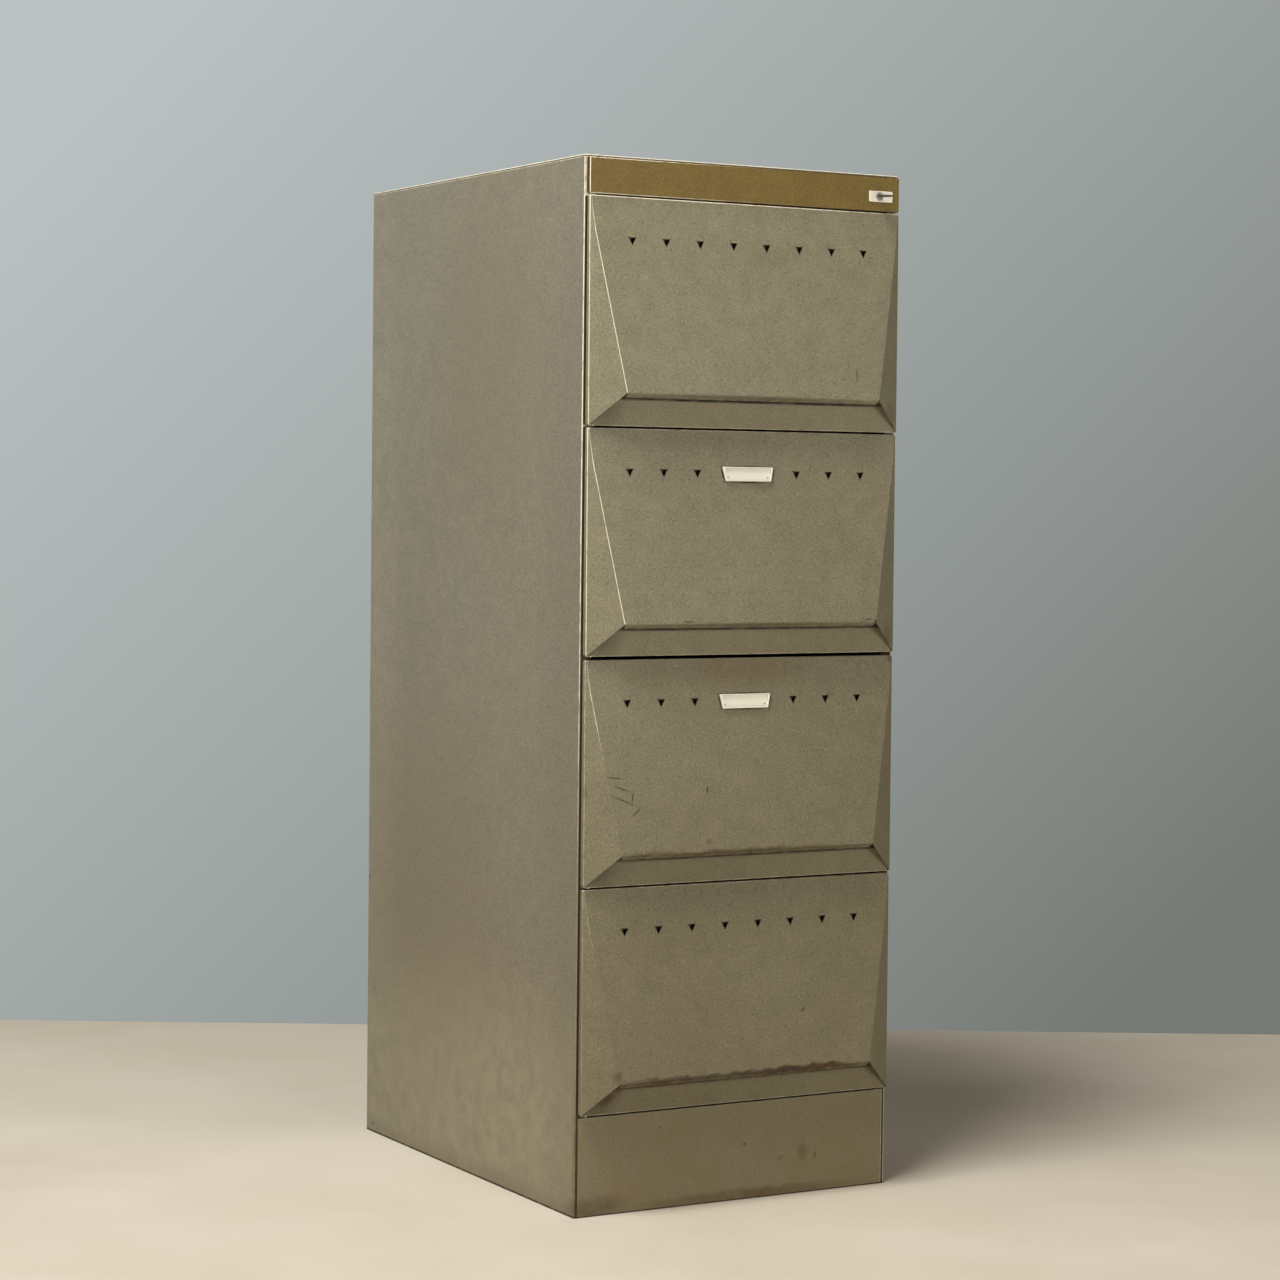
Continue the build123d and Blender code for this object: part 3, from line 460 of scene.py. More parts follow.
def enamel(name, high, low, patches=(), sheen=0.42, slotted=False):
    """Stove enamel, sprayed and baked on sheet steel. A satin film with a faint orange peel: it darkens and
    yellows towards the floor in clouds, partly soiling and partly painted shade; edges show pale primer where
    the paint has thinned, with painted highlights where they face the light; folds hold brown soiling, with
    painted shade in gaps, creases and along the floor."""
    colours = bpy.context.scene.cabinet_colours
    material, tree, shader, where = surface(name, Metallic=0.0, IOR=1.5)
    parts = add(tree, "SeparateXYZ", where)
    # clouds about 350 mm across carry the change from the upper colour to the darker, yellower lower one
    # towards the floor: partly soiling, partly painted shade
    clouds = add(tree, "TexNoise", {"Vector": where, "Scale": 1 / (350 * MM), "Detail": 3.0})
    rise = add(tree, "MapRange", {"Value": parts.outputs["Z"], "From Min": 0.1, "From Max": 1.25})
    mixed = add(tree, "Math", clouds, 0.7, rise, operation="MULTIPLY_ADD")
    fade = add(tree, "MapRange", {"Value": mixed, "From Min": 0.2, "From Max": 1.2})
    base = add(tree, "Mix", {0: fade, 6: linear(low), 7: linear(high)}, data_type="RGBA")
    # mottle about 25 mm across, and grain drawn at 1.8 mm, as the real peel is too fine to show
    mottle = add(tree, "TexNoise", {"Vector": where, "Scale": 1 / (25 * MM), "Detail": 4.0})
    grain = add(tree, "TexNoise", {"Vector": where, "Scale": 1 / (1.8 * MM), "Detail": 3.0})
    # they scale the colour by 0.3 of the mottle, 1.3 of the grain and 0.05
    tone = add(tree, "Math", mottle, 0.3, 0.85, operation="MULTIPLY_ADD")
    tone = add(tree, "Math", grain, 1.3, tone, operation="MULTIPLY_ADD")
    tone = add(tree, "Math", tone, 0.8, operation="SUBTRACT")
    base = add(tree, "VectorMath", {0: base, "Scale": tone}, operation="SCALE")
    # stains and painted shade sit at set places; a wobble of up to 6 mm either way makes them ragged, except
    # for fine lines and specks and for bands as long as the piece
    wobble = add(tree, "TexNoise", {"Vector": where, "Scale": 1 / (14 * MM), "Detail": 5.0})
    shift = add(tree, "VectorMath", wobble.outputs["Color"], (0.5,) * 3, operation="SUBTRACT")
    ragged = add(tree, "VectorMath", shift, (12 * MM,) * 3, where, operation="MULTIPLY_ADD")
    for centre, radii, tilt, strength, tint in patches:
        blotch = min(radii) > 4 * MM and max(radii[0], radii[2]) < 0.65
        mask = patch(tree, ragged if blotch else where, centre, radii, tilt, strength, 0.2)
        mask = add(tree, "Math", mask, mottle, operation="MULTIPLY")
        mask = add(tree, "Math", mask, 2.0, operation="MULTIPLY", use_clamp=True)
        base = add(tree, "Mix", {0: mask, 6: base, 7: linear(tint)}, data_type="RGBA")
    # painted shade and soiling round the slots
    if slotted:
        base = add(tree, "Mix", {0: slot_shade_and_grime(tree, parts), 6: base, 7: linear(BLACK)}, data_type="RGBA")
    # fly specks and pinholes 1 to 2 mm wide, in about half of all cells 50 mm across
    cells = add(tree, "TexVoronoi", {"Vector": where, "Scale": 1 / (50 * MM)})
    dots = add(tree, "MapRange", {"Value": cells, "From Min": 0.02, "From Max": 0.012})
    chosen = add(tree, "SeparateColor", {"Color": cells.outputs["Color"]})
    few = add(tree, "Math", chosen.outputs["Red"], 0.55, operation="LESS_THAN")
    dots = add(tree, "Math", dots, few, operation="MULTIPLY")
    dots = add(tree, "Math", dots, 0.6, operation="MULTIPLY")
    base = add(tree, "Mix", {0: dots, 6: base, 7: linear("2A2114")}, data_type="RGBA")
    # pale and dark edges follow the piece's own per-point values, patchy over 12 mm: thinned paint with
    # painted highlight above nought, soiling with painted shade below it
    wear_and_painted_light = add(tree, "Attribute", attribute_name="wear_and_painted_light").outputs["Fac"]
    patchy = add(tree, "TexNoise", {"Vector": where, "Scale": 1 / (12 * MM), "Detail": 3.0})
    uneven = add(tree, "MapRange", {"Value": patchy, "From Min": 0.3, "From Max": 0.6, "To Min": 0.35})
    rub_and_highlight = add(tree, "Math", wear_and_painted_light, uneven, operation="MULTIPLY")
    rub_and_highlight = add(tree, "MapRange", {"Value": rub_and_highlight, "From Min": 0.06, "From Max": 0.5})
    base = add(tree, "Mix", {0: rub_and_highlight, 6: base, 7: colours.edge_wear_and_light}, data_type="RGBA")
    grime_and_shade_mask = add(tree, "Math", wear_and_painted_light, -1.0, operation="MULTIPLY")
    grime_and_shade_mask = add(tree, "Math", grime_and_shade_mask, uneven, operation="MULTIPLY", use_clamp=True)
    base = add(tree, "Mix", {0: grime_and_shade_mask, 6: base, 7: colours.grime_and_shade}, data_type="RGBA")
    # the satin is duller in the mottle, and more so where soiling and painted shade darken it
    rough = add(tree, "Math", mottle, 0.16, sheen, operation="MULTIPLY_ADD")
    rough = add(tree, "Math", grime_and_shade_mask, 0.3, rough, operation="MULTIPLY_ADD")
    # orange peel: ripples about 3 mm apart and a few hundredths of a millimetre high
    peel = add(tree, "TexNoise", {"Vector": where, "Scale": 1 / (3 * MM), "Detail": 2.0})
    dress(tree, shader, base, rough, peel, 0.25, 0.03 * MM)
    return material


def on_front(x, drawer, height, half_x, half_z, tilt, strength, tint):
    """A patch on a drawer front, for stain and painted shade alike: millimetres from its middle and its
    bottom edge, tilt in degrees.
    """
    return ((x * MM, 0.0, BASES[drawer] + height * MM), (half_x * MM, 10.0, half_z * MM),
            math.radians(tilt), strength, tint)


def front_stains_and_shade():
    tan, orange = "6E5836", "4A2E00"
    rows = [
        # top of the third drawer and round the second one's upper edge: brown bloom
        (-10, 3, 268, 150, 34, 0, 0.34, tan), (-140, 3, 262, 60, 26, 8, 0.22, tan),
        (30, 1, 216, 60, 20, -4, 0.22, "6B6045"), (-60, 2, 270, 120, 18, 0, 0.16, tan),
        # scratches at the left of the third drawer
        (-192, 3, 137, 18, 1.3, 6, 1.0, DARK), (-182, 3, 123, 18, 1.3, 20, 1.0, DARK),
        (-168, 3, 112, 1.3, 12, 10, 1.0, DARK), (-163, 3, 94, 13, 1.3, -36, 1.0, DARK),
        (-182, 3, 109, 28, 1.2, 22, 0.9, DARK),
        # single marks
        (-60, 3, 118, 2.2, 7, 8, 1.0, DARK), (-59, 3, 52, 9, 6, 0, 0.35, RUST),
        (153, 1, 72, 1.3, 15, 2, 1.0, DARK), (141, 1, 84, 2.2, 7, 20, 0.3, RUST),
        (181, 1, 224, 1.8, 1.8, 0, 1.0, DARK), (-63, 1, 250, 1.5, 1.5, 0, 0.4, DARK),
        (174, 2, 44, 7, 2.2, 0, 0.9, DARK), (185, 2, 41, 3, 5, 0, 0.8, DARK),
        (-93, 2, 43, 14, 2, 0, 0.7, DARK), (87, 4, 115, 3, 6, 30, 0.7, RUST),
        (60, 4, 96, 3, 3, 0, 0.5, RUST), (-6, 4, 84, 3, 3, 0, 0.5, RUST),
        # rust and dirt along the fourth drawer's lip, worst in the middle right
        (60, 4, 40, 150, 6, 0, 0.9, orange), (95, 4, 41, 80, 6, 0, 1.0, orange),
        (-120, 4, 41, 90, 6, 0, 0.7, orange), (0, 4, 40, 200, 5, 0, 0.7, DARK),
        (0, 3, 40, 200, 5, 0, 0.6, RUST), (-150, 3, 42, 50, 5, 0, 0.5, RUST),
        (-187, 4, 50, 12, 12, 40, 0.5, RUST), (0, 2, 39, 200, 4, 0, 0.4, DARK),
        (0, 1, 39, 200, 4, 0, 0.35, DARK),
    ]
    # a painted shadow line along the edges of each label holder
    line = SLOT_LINE_H / MM
    for n in LABELLED:
        rows += [(0, n, line - 9.3, 50, 2.8, 0, 1.0, BLACK), (0, n, line + 9.3, 54, 2.4, 0, 0.9, BLACK),
                 (-35.8, n, line, 2.8, 14, -12, 1.0, BLACK), (38.0, n, line, 2.2, 13, 12, 0.7, BLACK)]
    # dust in the lower corners of the facets
    rows += [(212, 1, 20, 16, 26, 0, 0.25, RUST), (212, 2, 20, 16, 26, 0, 0.3, RUST),
             (223, 3, 278, 6, 6, 0, 0.6, DARK), (-226, 3, 120, 3, 12, 0, 0.4, RUST)]
    return [on_front(*row) for row in rows]


def pull_shade_and_stains():
    shadow = "39321F"
    rows = []
    # painted shadow of the lip over the top of each plate, and painted shade beside the left facet, both
    # stronger on the lower drawers
    for n, left, top in ((1, 0.35, 0.35), (2, 0.4, 0.4), (3, 0.45, 0.5), (4, 0.6, 0.7)):
        rows += [(0, n, 70, 260, 36, 0, top, shadow), (-205, n, 20, 40, 34, -30, left, shadow)]
    rows.append((-186, 4, 26, 34, 14, -30, 0.8, RUST))
    # painted shade along the crease where the lip's edge stands before the plate
    rows += [(0, n, height, 700, 4.2, 0, strength, tint)
             for n, height, strength, tint in ((1, 35.2, 1.0, "1A150A"), (2, 34.2, 0.97, "1A150A"),
                                               (3, 33.1, 0.95, "261C0C"), (4, 31.8, 0.9, "3A240E"))]
    return [on_front(*row) for row in rows]


def case_stains_and_bounce():
    tan = "7A6A4C"
    # left side, as (y, z, half y, half z, strength, tint): floor dirt along the bottom, specks near the rear
    # edge, and soft clouds, one a paler band low down that is dust with painted bounce light from the floor
    side = [(0.0, 0.0, 0.6, 0.03, 0.5, "55452B"), (0.306, 0.36, 0.004, 0.004, 1.0, DARK),
            (0.285, 0.203, 0.003, 0.004, 0.7, DARK), (0.29, 0.012, 0.008, 0.005, 0.8, DARK),
            (0.0, 0.1, 0.6, 0.24, 0.45, "A39A80"), (-0.06, 1.1, 0.25, 0.3, 0.2, tan),
            (-0.3, 0.7, 0.13, 1.1, 0.1, DARK), (0.31, 0.7, 0.13, 1.1, 0.1, "C8C0A4"),
            (0.1, 0.35, 0.3, 0.35, 0.22, tan)]
    # plinth, as (x, z, half x, half y, half z, tilt, strength, tint): knocks in the middle right and
    # dirt at the floor
    plinth = [(0.017, 0.071, 0.004, 0.05, 0.004, 0.0, 0.9, DARK),
              (0.105, 0.055, 0.012, 0.05, 0.02, 0.0, 0.5, RUST),
              (0.124, 0.048, 0.003, 0.05, 0.007, 0.3, 0.8, DARK),
              (0.071, 0.05, 0.006, 0.05, 0.005, 0.0, 0.6, RUST),
              (0.02, 0.006, 0.2, 0.05, 0.012, 0.0, 0.8, RUST),
              (0.0, 0.06, 1.2, 0.012, 0.2, 0.0, 0.5, "6E6038"),
              (-0.2, 0.01, 0.06, 0.05, 0.022, 0.0, 0.55, RUST),
              (-0.109, 0.104, 0.004, 0.05, 0.003, 0.0, 0.6, DARK)]
    return [((-HALF_W, y, z), (0.05, half_y, half_z), 0.0, strength, tint)
            for y, z, half_y, half_z, strength, tint in side] + [
        ((x, FRONT_Y, z), (half_x, half_y, half_z), tilt, strength, tint)
        for x, z, half_x, half_y, half_z, tilt, strength, tint in plinth]


def card_stains():
    """Dirt at the lower corners of the two cards."""
    boxes = [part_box(f"drawer_{n}_label_card") for n in LABELLED]
    return [((x, low.y, low.z + 2 * MM), (2.5 * MM, 0.05, 1.6 * MM), 0.8, "5B5238")
            for low, high in boxes for x in (low.x + 4 * MM, high.x - 5 * MM)]


def plated(name, tint, rough, streak, dull=0.15):
    """Cold-rolled steel with electroplated zinc or nickel. Grey and a little cloudy, with fine draw
    lines along its length and a dull bloom where the plating has aged."""
    material, tree, shader, where = surface(name, Metallic=1.0)
    # clouds about 30 mm across; the lines' spacing is one over each streak, in metres
    clouds = add(tree, "TexNoise", {"Vector": where, "Scale": 1 / (30 * MM), "Detail": 4.0})
    stretched = add(tree, "Mapping", {"Vector": where, "Scale": streak})
    lines = add(tree, "TexNoise", {"Vector": stretched, "Scale": 1.0, "Detail": 3.0})
    tone = add(tree, "Math", clouds, 0.5, 0.72, operation="MULTIPLY_ADD")
    base = add(tree, "Mix", {0: clouds, 6: linear(tint), 7: linear("7C776B")}, data_type="RGBA")
    base = add(tree, "VectorMath", {0: base, "Scale": tone}, operation="SCALE")
    uneven = add(tree, "Math", lines, 0.2, rough, operation="MULTIPLY_ADD")
    bloomed = add(tree, "Math", clouds, dull, uneven, operation="MULTIPLY_ADD")
    dress(tree, shader, base, bloomed, lines, 0.2, 0.02 * MM)
    return material


def moulded(name, tint, deep, rough, coat=0.0, patches=()):
    """Moulded plastic, rubber or card: one even colour with a slow drift, a fine surface texture and
    a little dirt in set places."""
    material, tree, shader, where = surface(name, Metallic=0.0, IOR=1.5, Coat_Weight=coat,
                                            Coat_Roughness=0.2)
    drift = add(tree, "TexNoise", {"Vector": where, "Scale": 1 / (20 * MM), "Detail": 4.0})
    base = add(tree, "Mix", {0: drift, 6: linear(tint), 7: linear(deep)}, data_type="RGBA")
    for centre, radii, strength, smear in patches:
        mask = patch(tree, where, centre, radii, 0.0, strength, 0.1)
        base = add(tree, "Mix", {0: mask, 6: base, 7: linear(smear)}, data_type="RGBA")
    # painted shadow where the piece's own per-point values are below nought: at its foot on the panel and in
    # its hollows
    wear_and_painted_light = add(tree, "Attribute", attribute_name="wear_and_painted_light").outputs["Fac"]
    dirt_and_shade = add(tree, "Math", wear_and_painted_light, -1.0, operation="MULTIPLY", use_clamp=True)
    base = add(tree, "Mix", {0: dirt_and_shade, 6: base, 7: linear(MOULDING_SHADOW)}, data_type="RGBA")
    # texture of about 0.8 mm, as mould steel or fibres leave
    fine = add(tree, "TexNoise", {"Vector": where, "Scale": 1 / (0.8 * MM), "Detail": 2.0})
    uneven = add(tree, "Math", fine, 0.12, rough, operation="MULTIPLY_ADD")
    dress(tree, shader, base, uneven, fine, 0.25, 0.02 * MM)
    return material


FINISHES = {}


def finish(slot_name):
    """The finish of one of the record's material slots, or of the inner frame, made once."""
    if slot_name not in FINISHES:
        c = bpy.context.scene.cabinet_colours
        maker, *look = {
            "case_enamel": (enamel, "stove_enamel_case", c.enamel, c.enamel_low, case_stains_and_bounce()),
            "front_enamel": (enamel, "stove_enamel_fronts", c.front, c.front_low, front_stains_and_shade(), 0.42, True),
            "pull_enamel": (enamel, "stove_enamel_finger_pulls", "979076", "6E6448", pull_shade_and_stains(), 0.5),
            "inner_frame": (enamel, "dark_primer_inner_frame", "262320", "1E1B18", (), 0.6),
            "tray_enamel": (enamel, "stove_enamel_inside", "8E866D", "867D63", (), 0.4),
            "fascia_paint": (enamel, "ochre_enamel_fascia", c.fascia, "7F6A30", (), 0.4),
            "case_runner_steel": (plated, "zinc_plated_case_runners", "B9B8B2", 0.34, (60, 1500, 1500), 0.2),
            "slide_steel": (plated, "zinc_plated_slides", "BDBCB6", 0.32, (1500, 60, 1500), 0.2),
            "bar_steel": (plated, "zinc_plated_lock_bar", "B4B2AA", 0.36, (1500, 1500, 60), 0.2),
            "lock_metal": (plated, "dull_nickel_lock", "F3F0E6", 0.58, (900, 900, 900)),
            "key_steel": (plated, "dull_nickel_key", "6C665A", 0.34, (900, 300, 900)),
            "lock_plate_plastic": (moulded, "urea_moulding_lock_plate", c.plate, "EFEBDA", 0.3, 0.3),
            "label_plastic": (moulded, "polystyrene_label_holders", c.label, "F8F4E6", 0.28, 0.3),
            "card": (moulded, "index_card", c.card, "EFEFDC", 0.75, 0.0, card_stains()),
            "glide_nylon": (moulded, "nylon_glides", "DAD5C2", "CFC8B0", 0.45),
            "buffer_rubber": (moulded, "moulded_rubber_buffers", "2A2927", "1F1E1D", 0.7),
        }[slot_name]
        FINISHES[slot_name] = maker(*look)
    return FINISHES[slot_name]


# ------------------------------------------------------------------ drawer fronts


def panel_proud(height):
    """The leaning panel's distance in front of the case, its upper end eased into the top strip."""
    if height >= APEX_H + APEX_EASE:
        return EDGE_TOP
    if height > APEX_H - APEX_EASE:
        return EDGE_TOP + SLOPE * (APEX_H + APEX_EASE - height) ** 2 / (4 * APEX_EASE)
    return EDGE_TOP + SLOPE * (APEX_H - height)


def edge_proud(height):
    """The side edge's distance in front of the case."""
    return EDGE_TOP + (EDGE_BOTTOM - EDGE_TOP) * max(APEX_H - height, 0.0) / APEX_H


def outline_x(height, radius):
    """Half width of the front, with rounded corners."""
    for over in (height - (FRONT_H - radius), radius - height):
        if over > 0:
            return HALF_F - radius + math.sqrt(max(radius ** 2 - over ** 2, 0.0))
    return HALF_F


def ridge_x(height):
    """Half width of the leaning panel, out to its slanting ridge."""
    return HALF_F - RIDGE_INSET * max(APEX_H - height, 0.0) / (APEX_H - LIP_H)


def full_row(height, cut, s):
    """Half of a front's outline at a height, set back by a cut: (x, proud, wear and painted light), from the
    middle to the back of its side."""
    panel = panel_proud(height) - cut
    edge = edge_proud(height) - cut
    x_edge = outline_x(height, s.front_corner)
    x_ridge = min(ridge_x(height), x_edge - RIDGE_NEAR)
    path = bend([(0.0, panel, 0.0), (x_ridge, panel, s.ridge_bend), (x_edge, edge, s.side_bend),
                 (x_edge, BACK_PROUD, 0.0)])
    panel_part, facet_part = path[:RIDGE_END + 1], path[RIDGE_END + 1:]
    return [*panel_part, towards(panel_part[-1], facet_part[0], RIDGE_WEAR_AND_LIGHT_REACH), *facet_part[:-1],
            towards(facet_part[-1], facet_part[-2], BACK_WEAR_AND_LIGHT_REACH), facet_part[-1]]


def facet_row(height, s, ridge_reach):
    """The facet's part of the outline below the lip, from its slanting lower edge."""
    x_edge = outline_x(height, s.front_corner)
    edge = edge_proud(height)
    down = max(LIP_H - height, 0.0) / LIP_H
    x_low = ridge_x(LIP_H) + RIDGE_INSET * down
    start = Vector((x_low, LIP_PROUD + (EDGE_BOTTOM - LIP_PROUD) * down))
    facing = Vector((HALF_F, edge)) - start
    if facing.length > 1e-6:
        start = start + facing.normalized() * ridge_reach
    if start.x > x_edge - FACET_NEAR:
        x_start = x_edge - FACET_NEAR
        start = Vector((x_start, edge + (HALF_F - x_start) * FACET_SLOPE))
    path = bend([(*start, 0.0), (x_edge, edge, s.side_bend), (x_edge, BACK_PROUD, 0.0)])
    # the slanting lower edge is painted dark: painted shade where the facet stands before the plate
    return [(*start, -0.8), towards(path[0], path[1], RIDGE_WEAR_AND_LIGHT_REACH), *path[1:-1],
            towards(path[-1], path[-2], BACK_WEAR_AND_LIGHT_REACH), path[-1]]


def wear_and_light_at_edge(x, height, wear_and_painted_light, column, edge_wear_and_light):
    """Scale a point's paleness, thinned paint with painted highlight, by which edge it is on; on the right
    side edges it becomes painted shade. A ridge's comes in over a quarter of the height.
    """
    if wear_and_painted_light <= 0:
        return wear_and_painted_light
    ridge = 1 <= column <= RIDGE_END + 1
    if x > 0:
        return wear_and_painted_light * (RIGHT_RIDGE_WEAR_AND_HIGHLIGHT if ridge else edge_wear_and_light["right"])
    fade = min(max((height / FRONT_H - edge_wear_and_light["fade"]) / 0.25, 0.0), 1.0) if edge_wear_and_light["fade"] else 1.0
    return wear_and_painted_light * (edge_wear_and_light["ridge"] * fade if ridge else edge_wear_and_light["left"])


def front_skin(number):
    """A drawer front's outer skin: leaning panel, side facets, edges, and the lip turned back."""
    s = bpy.context.scene.cabinet_sizes
    edge_wear_and_light = EDGE_WEAR_AND_LIGHT_BY_DRAWER[number]
    base = BASES[number]
    skin = Skin()

    def both_sides(half, height, first=0, edge_wear_and_highlight=None):
        """The left and right points of a row, from half an outline whose first column is numbered."""
        return [[(sign * x, FRONT_Y - p, base + height,
                  wear_and_light_at_edge(sign * max(x, HAIR), height, w, i, edge_wear_and_light) if edge_wear_and_highlight is None else edge_wear_and_highlight)
                 for i, (x, p, w) in enumerate(half, first)] for sign in (-1, 1)]

    # the lip's fold starts a little above its corner
    turn = math.atan2(LIP_H - LIP_EDGE_H, LIP_PROUD - LIP_ROOT)
    fold = s.lip_bend * math.tan((math.pi / 2 - math.atan(SLOPE) - turn) / 2)
    start_h = LIP_H + fold * math.cos(math.atan(SLOPE))

    # levels of (height, set back, pale top edge: thinned paint with painted highlight): up the panel, through
    # its eased top, and round the top edge
    heights = [start_h, start_h + 2 * MM, 90 * MM, 150 * MM, 200 * MM, 240 * MM]
    heights += [APEX_H - APEX_EASE + 2 * k * MM for k in range(6)]
    levels = [(h, 0.0, 0.0) for h in heights if h < FRONT_H - s.front_corner - 0.3 * MM]
    r = s.side_bend
    for angle in [k / 5 * math.pi / 2 for k in range(6)]:
        levels.append((FRONT_H - r + r * math.sin(angle), r * (1 - math.cos(angle)), math.sin(2 * angle)))
    corner = [FRONT_H - s.front_corner + 0.5 * MM * k for k in range(4)]
    levels += [(h, 0.0, 0.0) for h in corner if h < FRONT_H - r - 0.05 * MM]
    levels.sort()

    rows = []
    for height, cut, top_wear_and_highlight in levels:
        left, right = both_sides(full_row(height, cut, s), height)
        row = left[:0:-1] + right
        # the top edge is painted pale, thinned paint with painted highlight, less and less to the right of x
        # = 0.13 m
        if top_wear_and_highlight:
            row = [(x, y, z, max(w, top_wear_and_highlight * edge_wear_and_light["top"] * min(1.0, 1.9 - 7 * x))) for x, y, z, w in row]
        rows.append(skin.row(row))
    skin.loft(rows)
    skin.mesh.faces.new(rows[-1])
    middle = len(rows[0]) // 2

    # facets run on down beside the finger pull; their first row is the panel's last
    ridge_turn = math.atan2(LIP_PROUD - EDGE_BOTTOM, RIDGE_INSET)
    reach = s.ridge_bend * math.tan(ridge_turn / 2)
    right_above = rows[0][middle + RIDGE_END:]
    left_above = rows[0][middle - RIDGE_END::-1]
    for height in [h * MM for h in (40, 30, 20, 10, 3.5, 2, 1, 0.4, 0)]:
        # the facets' foot is painted pale along the bottom edge: thinned paint with a painted highlight
        foot_wear_and_highlight = 0.85 if height == 0 else None
        left, right = both_sides(facet_row(height, s, reach), height, RIDGE_END + 2, foot_wear_and_highlight)
        right_here, left_here = skin.row(right), skin.row(left)
        skin.span(right_here, right_above)
        skin.span(left_above, left_here)
        right_above, left_above = right_here, left_here

    # the lip: back and down, then up again inside
    profile = bend([(panel_proud(60 * MM), 60 * MM, 0.0), (LIP_PROUD, LIP_H, s.lip_bend),
                    (LIP_ROOT, LIP_EDGE_H, 0.8 * MM), (LIP_ROOT, LIP_RETURN_H, 0.0)])
    above = rows[0][middle - 1:middle + 2]
    x_lip = above[2].co.x
    for i, (proud, height, _) in enumerate(profile[2:]):
        # narrower the further back it lies
        half = x_lip - 0.15 * (LIP_PROUD - proud)
        # the underside is a little dirty, and the hem behind it is painted dark: painted shade in the crease
        # before the plate, with grease
        dirt_and_shade = -edge_wear_and_light["lip"] if i < 4 else -0.6 if i == 4 else -1.0
        here = skin.row([(x, FRONT_Y - proud, base + height, dirt_and_shade) for x in (-half, 0.0, half)])
        skin.span(here, above)
        above = here
    return skin


def slot_cutter():
    """A node tree that punches the row of triangular index slots through a front."""
    tree = bpy.data.node_groups.new("index_slots", "GeometryNodeTree")
    face = tree.interface
    for name, kind in (("Geometry", "Geometry"), ("Count", "Int"), ("Pitch", "Float"), ("Width", "Float"),
                       ("Height", "Float"), ("Middle", "Vector"), ("Outward", "Vector"), ("Depth", "Float"),
                       ("Finish", "Material")):
        face.new_socket(name, in_out="INPUT", socket_type="NodeSocket" + kind)
    face.new_socket("Geometry", in_out="OUTPUT", socket_type="NodeSocketGeometry")
    given = add(tree, "NodeGroupInput").outputs
    # the row starts half its length left of the middle
    gaps = add(tree, "Math", given["Count"], 1.0, operation="SUBTRACT")
    span = add(tree, "Math", gaps, given["Pitch"], operation="MULTIPLY")
    half = add(tree, "Math", span, -0.5, operation="MULTIPLY")
    left = add(tree, "CombineXYZ", half)
    start = add(tree, "VectorMath", left, given["Middle"], operation="ADD")
    step = add(tree, "CombineXYZ", given["Pitch"])
    line = add(tree, "GeometryNodeMeshLine", {"Count": given["Count"], "Start Location": start,
                                              "Offset": step})
    # a three-sided prism of unit radius spans 1.5 down and the root of 3 across
    prism = add(tree, "GeometryNodeMeshCylinder", {"Vertices": 3, "Radius": 1.0, "Depth": given["Depth"]})
    down = add(tree, "Math", given["Height"], 1.5, operation="DIVIDE")
    wide = add(tree, "Math", given["Width"], math.sqrt(3), operation="DIVIDE")
    size = add(tree, "CombineXYZ", down, wide, 1.0)
    # its middle lies a sixth of the slot's height above the middle of the slot
    lift = add(tree, "Math", given["Height"], -1 / 6, operation="MULTIPLY")
    shift = add(tree, "CombineXYZ", lift)
    shaped = add(tree, "GeometryNodeTransform", {"Geometry": prism, "Translation": shift, "Scale": size})
    # stand the prism on the panel: its Z outwards, its X down the slope
    slope = add(tree, "VectorMath", given["Outward"], (-1.0, 0.0, 0.0), operation="CROSS_PRODUCT")
    turn = add(tree, "FunctionNodeAxesToRotation", {"Primary Axis": given["Outward"],
                                                    "Secondary Axis": slope},
               primary_axis="Z", secondary_axis="X")
    copies = add(tree, "GeometryNodeInstanceOnPoints", {"Points": line, "Instance": shaped, "Rotation": turn})
    solid = add(tree, "GeometryNodeRealizeInstances", copies)
    cut = add(tree, "GeometryNodeMeshBoolean", {"Mesh 1": given["Geometry"], "Mesh 2": solid},
              operation="DIFFERENCE", solver="EXACT")
    real = add(tree, "GeometryNodeRealizeInstances", cut)
    painted = add(tree, "GeometryNodeSetMaterial", {"Geometry": real, "Material": given["Finish"]})
    add(tree, "NodeGroupOutput", painted)
    return tree


def slot_middle(number):
    """The middle of a drawer's row of slots, on its leaning panel."""
    return Vector((0.0, FRONT_Y - panel_proud(SLOT_LINE_H), BASES[number] + SLOT_LINE_H))


def cut_slots(obj, number, tree):
    s = bpy.context.scene.cabinet_sizes
    values = {"Count": s.slot_count, "Pitch": s.slot_pitch, "Width": s.slot_width, "Height": s.slot_height,
              "Middle": slot_middle(number), "Outward": PANEL_OUT, "Depth": 6 * MM,
              "Finish": finish("front_enamel")}
    modifier = obj.modifiers.new("slots", "NODES")
    modifier.node_group = tree
    for item in tree.interface.items_tree:
        if item.in_out == "INPUT" and item.name in values:
            modifier[item.identifier] = values[item.name]
    settle(obj)


class CABINET_OT_fronts(Operator):
    """Make the four drawer fronts with their lips and punched index slots"""
    bl_idname = "cabinet.fronts"
    bl_label = "Drawer fronts"

    def execute(self, context):
        tree = slot_cutter()
        for n in DRAWERS:
            obj = front_skin(n).piece(f"drawer_{n}_front_skin")
            wall(obj, context.scene.cabinet_sizes.skin)
            cut_slots(obj, n, tree)
            place_piece(obj, f"drawer_{n}", "front_enamel", f"drawer_{n}_front")
        return {"FINISHED"}


# ------------------------------------------------------------------ folded strips


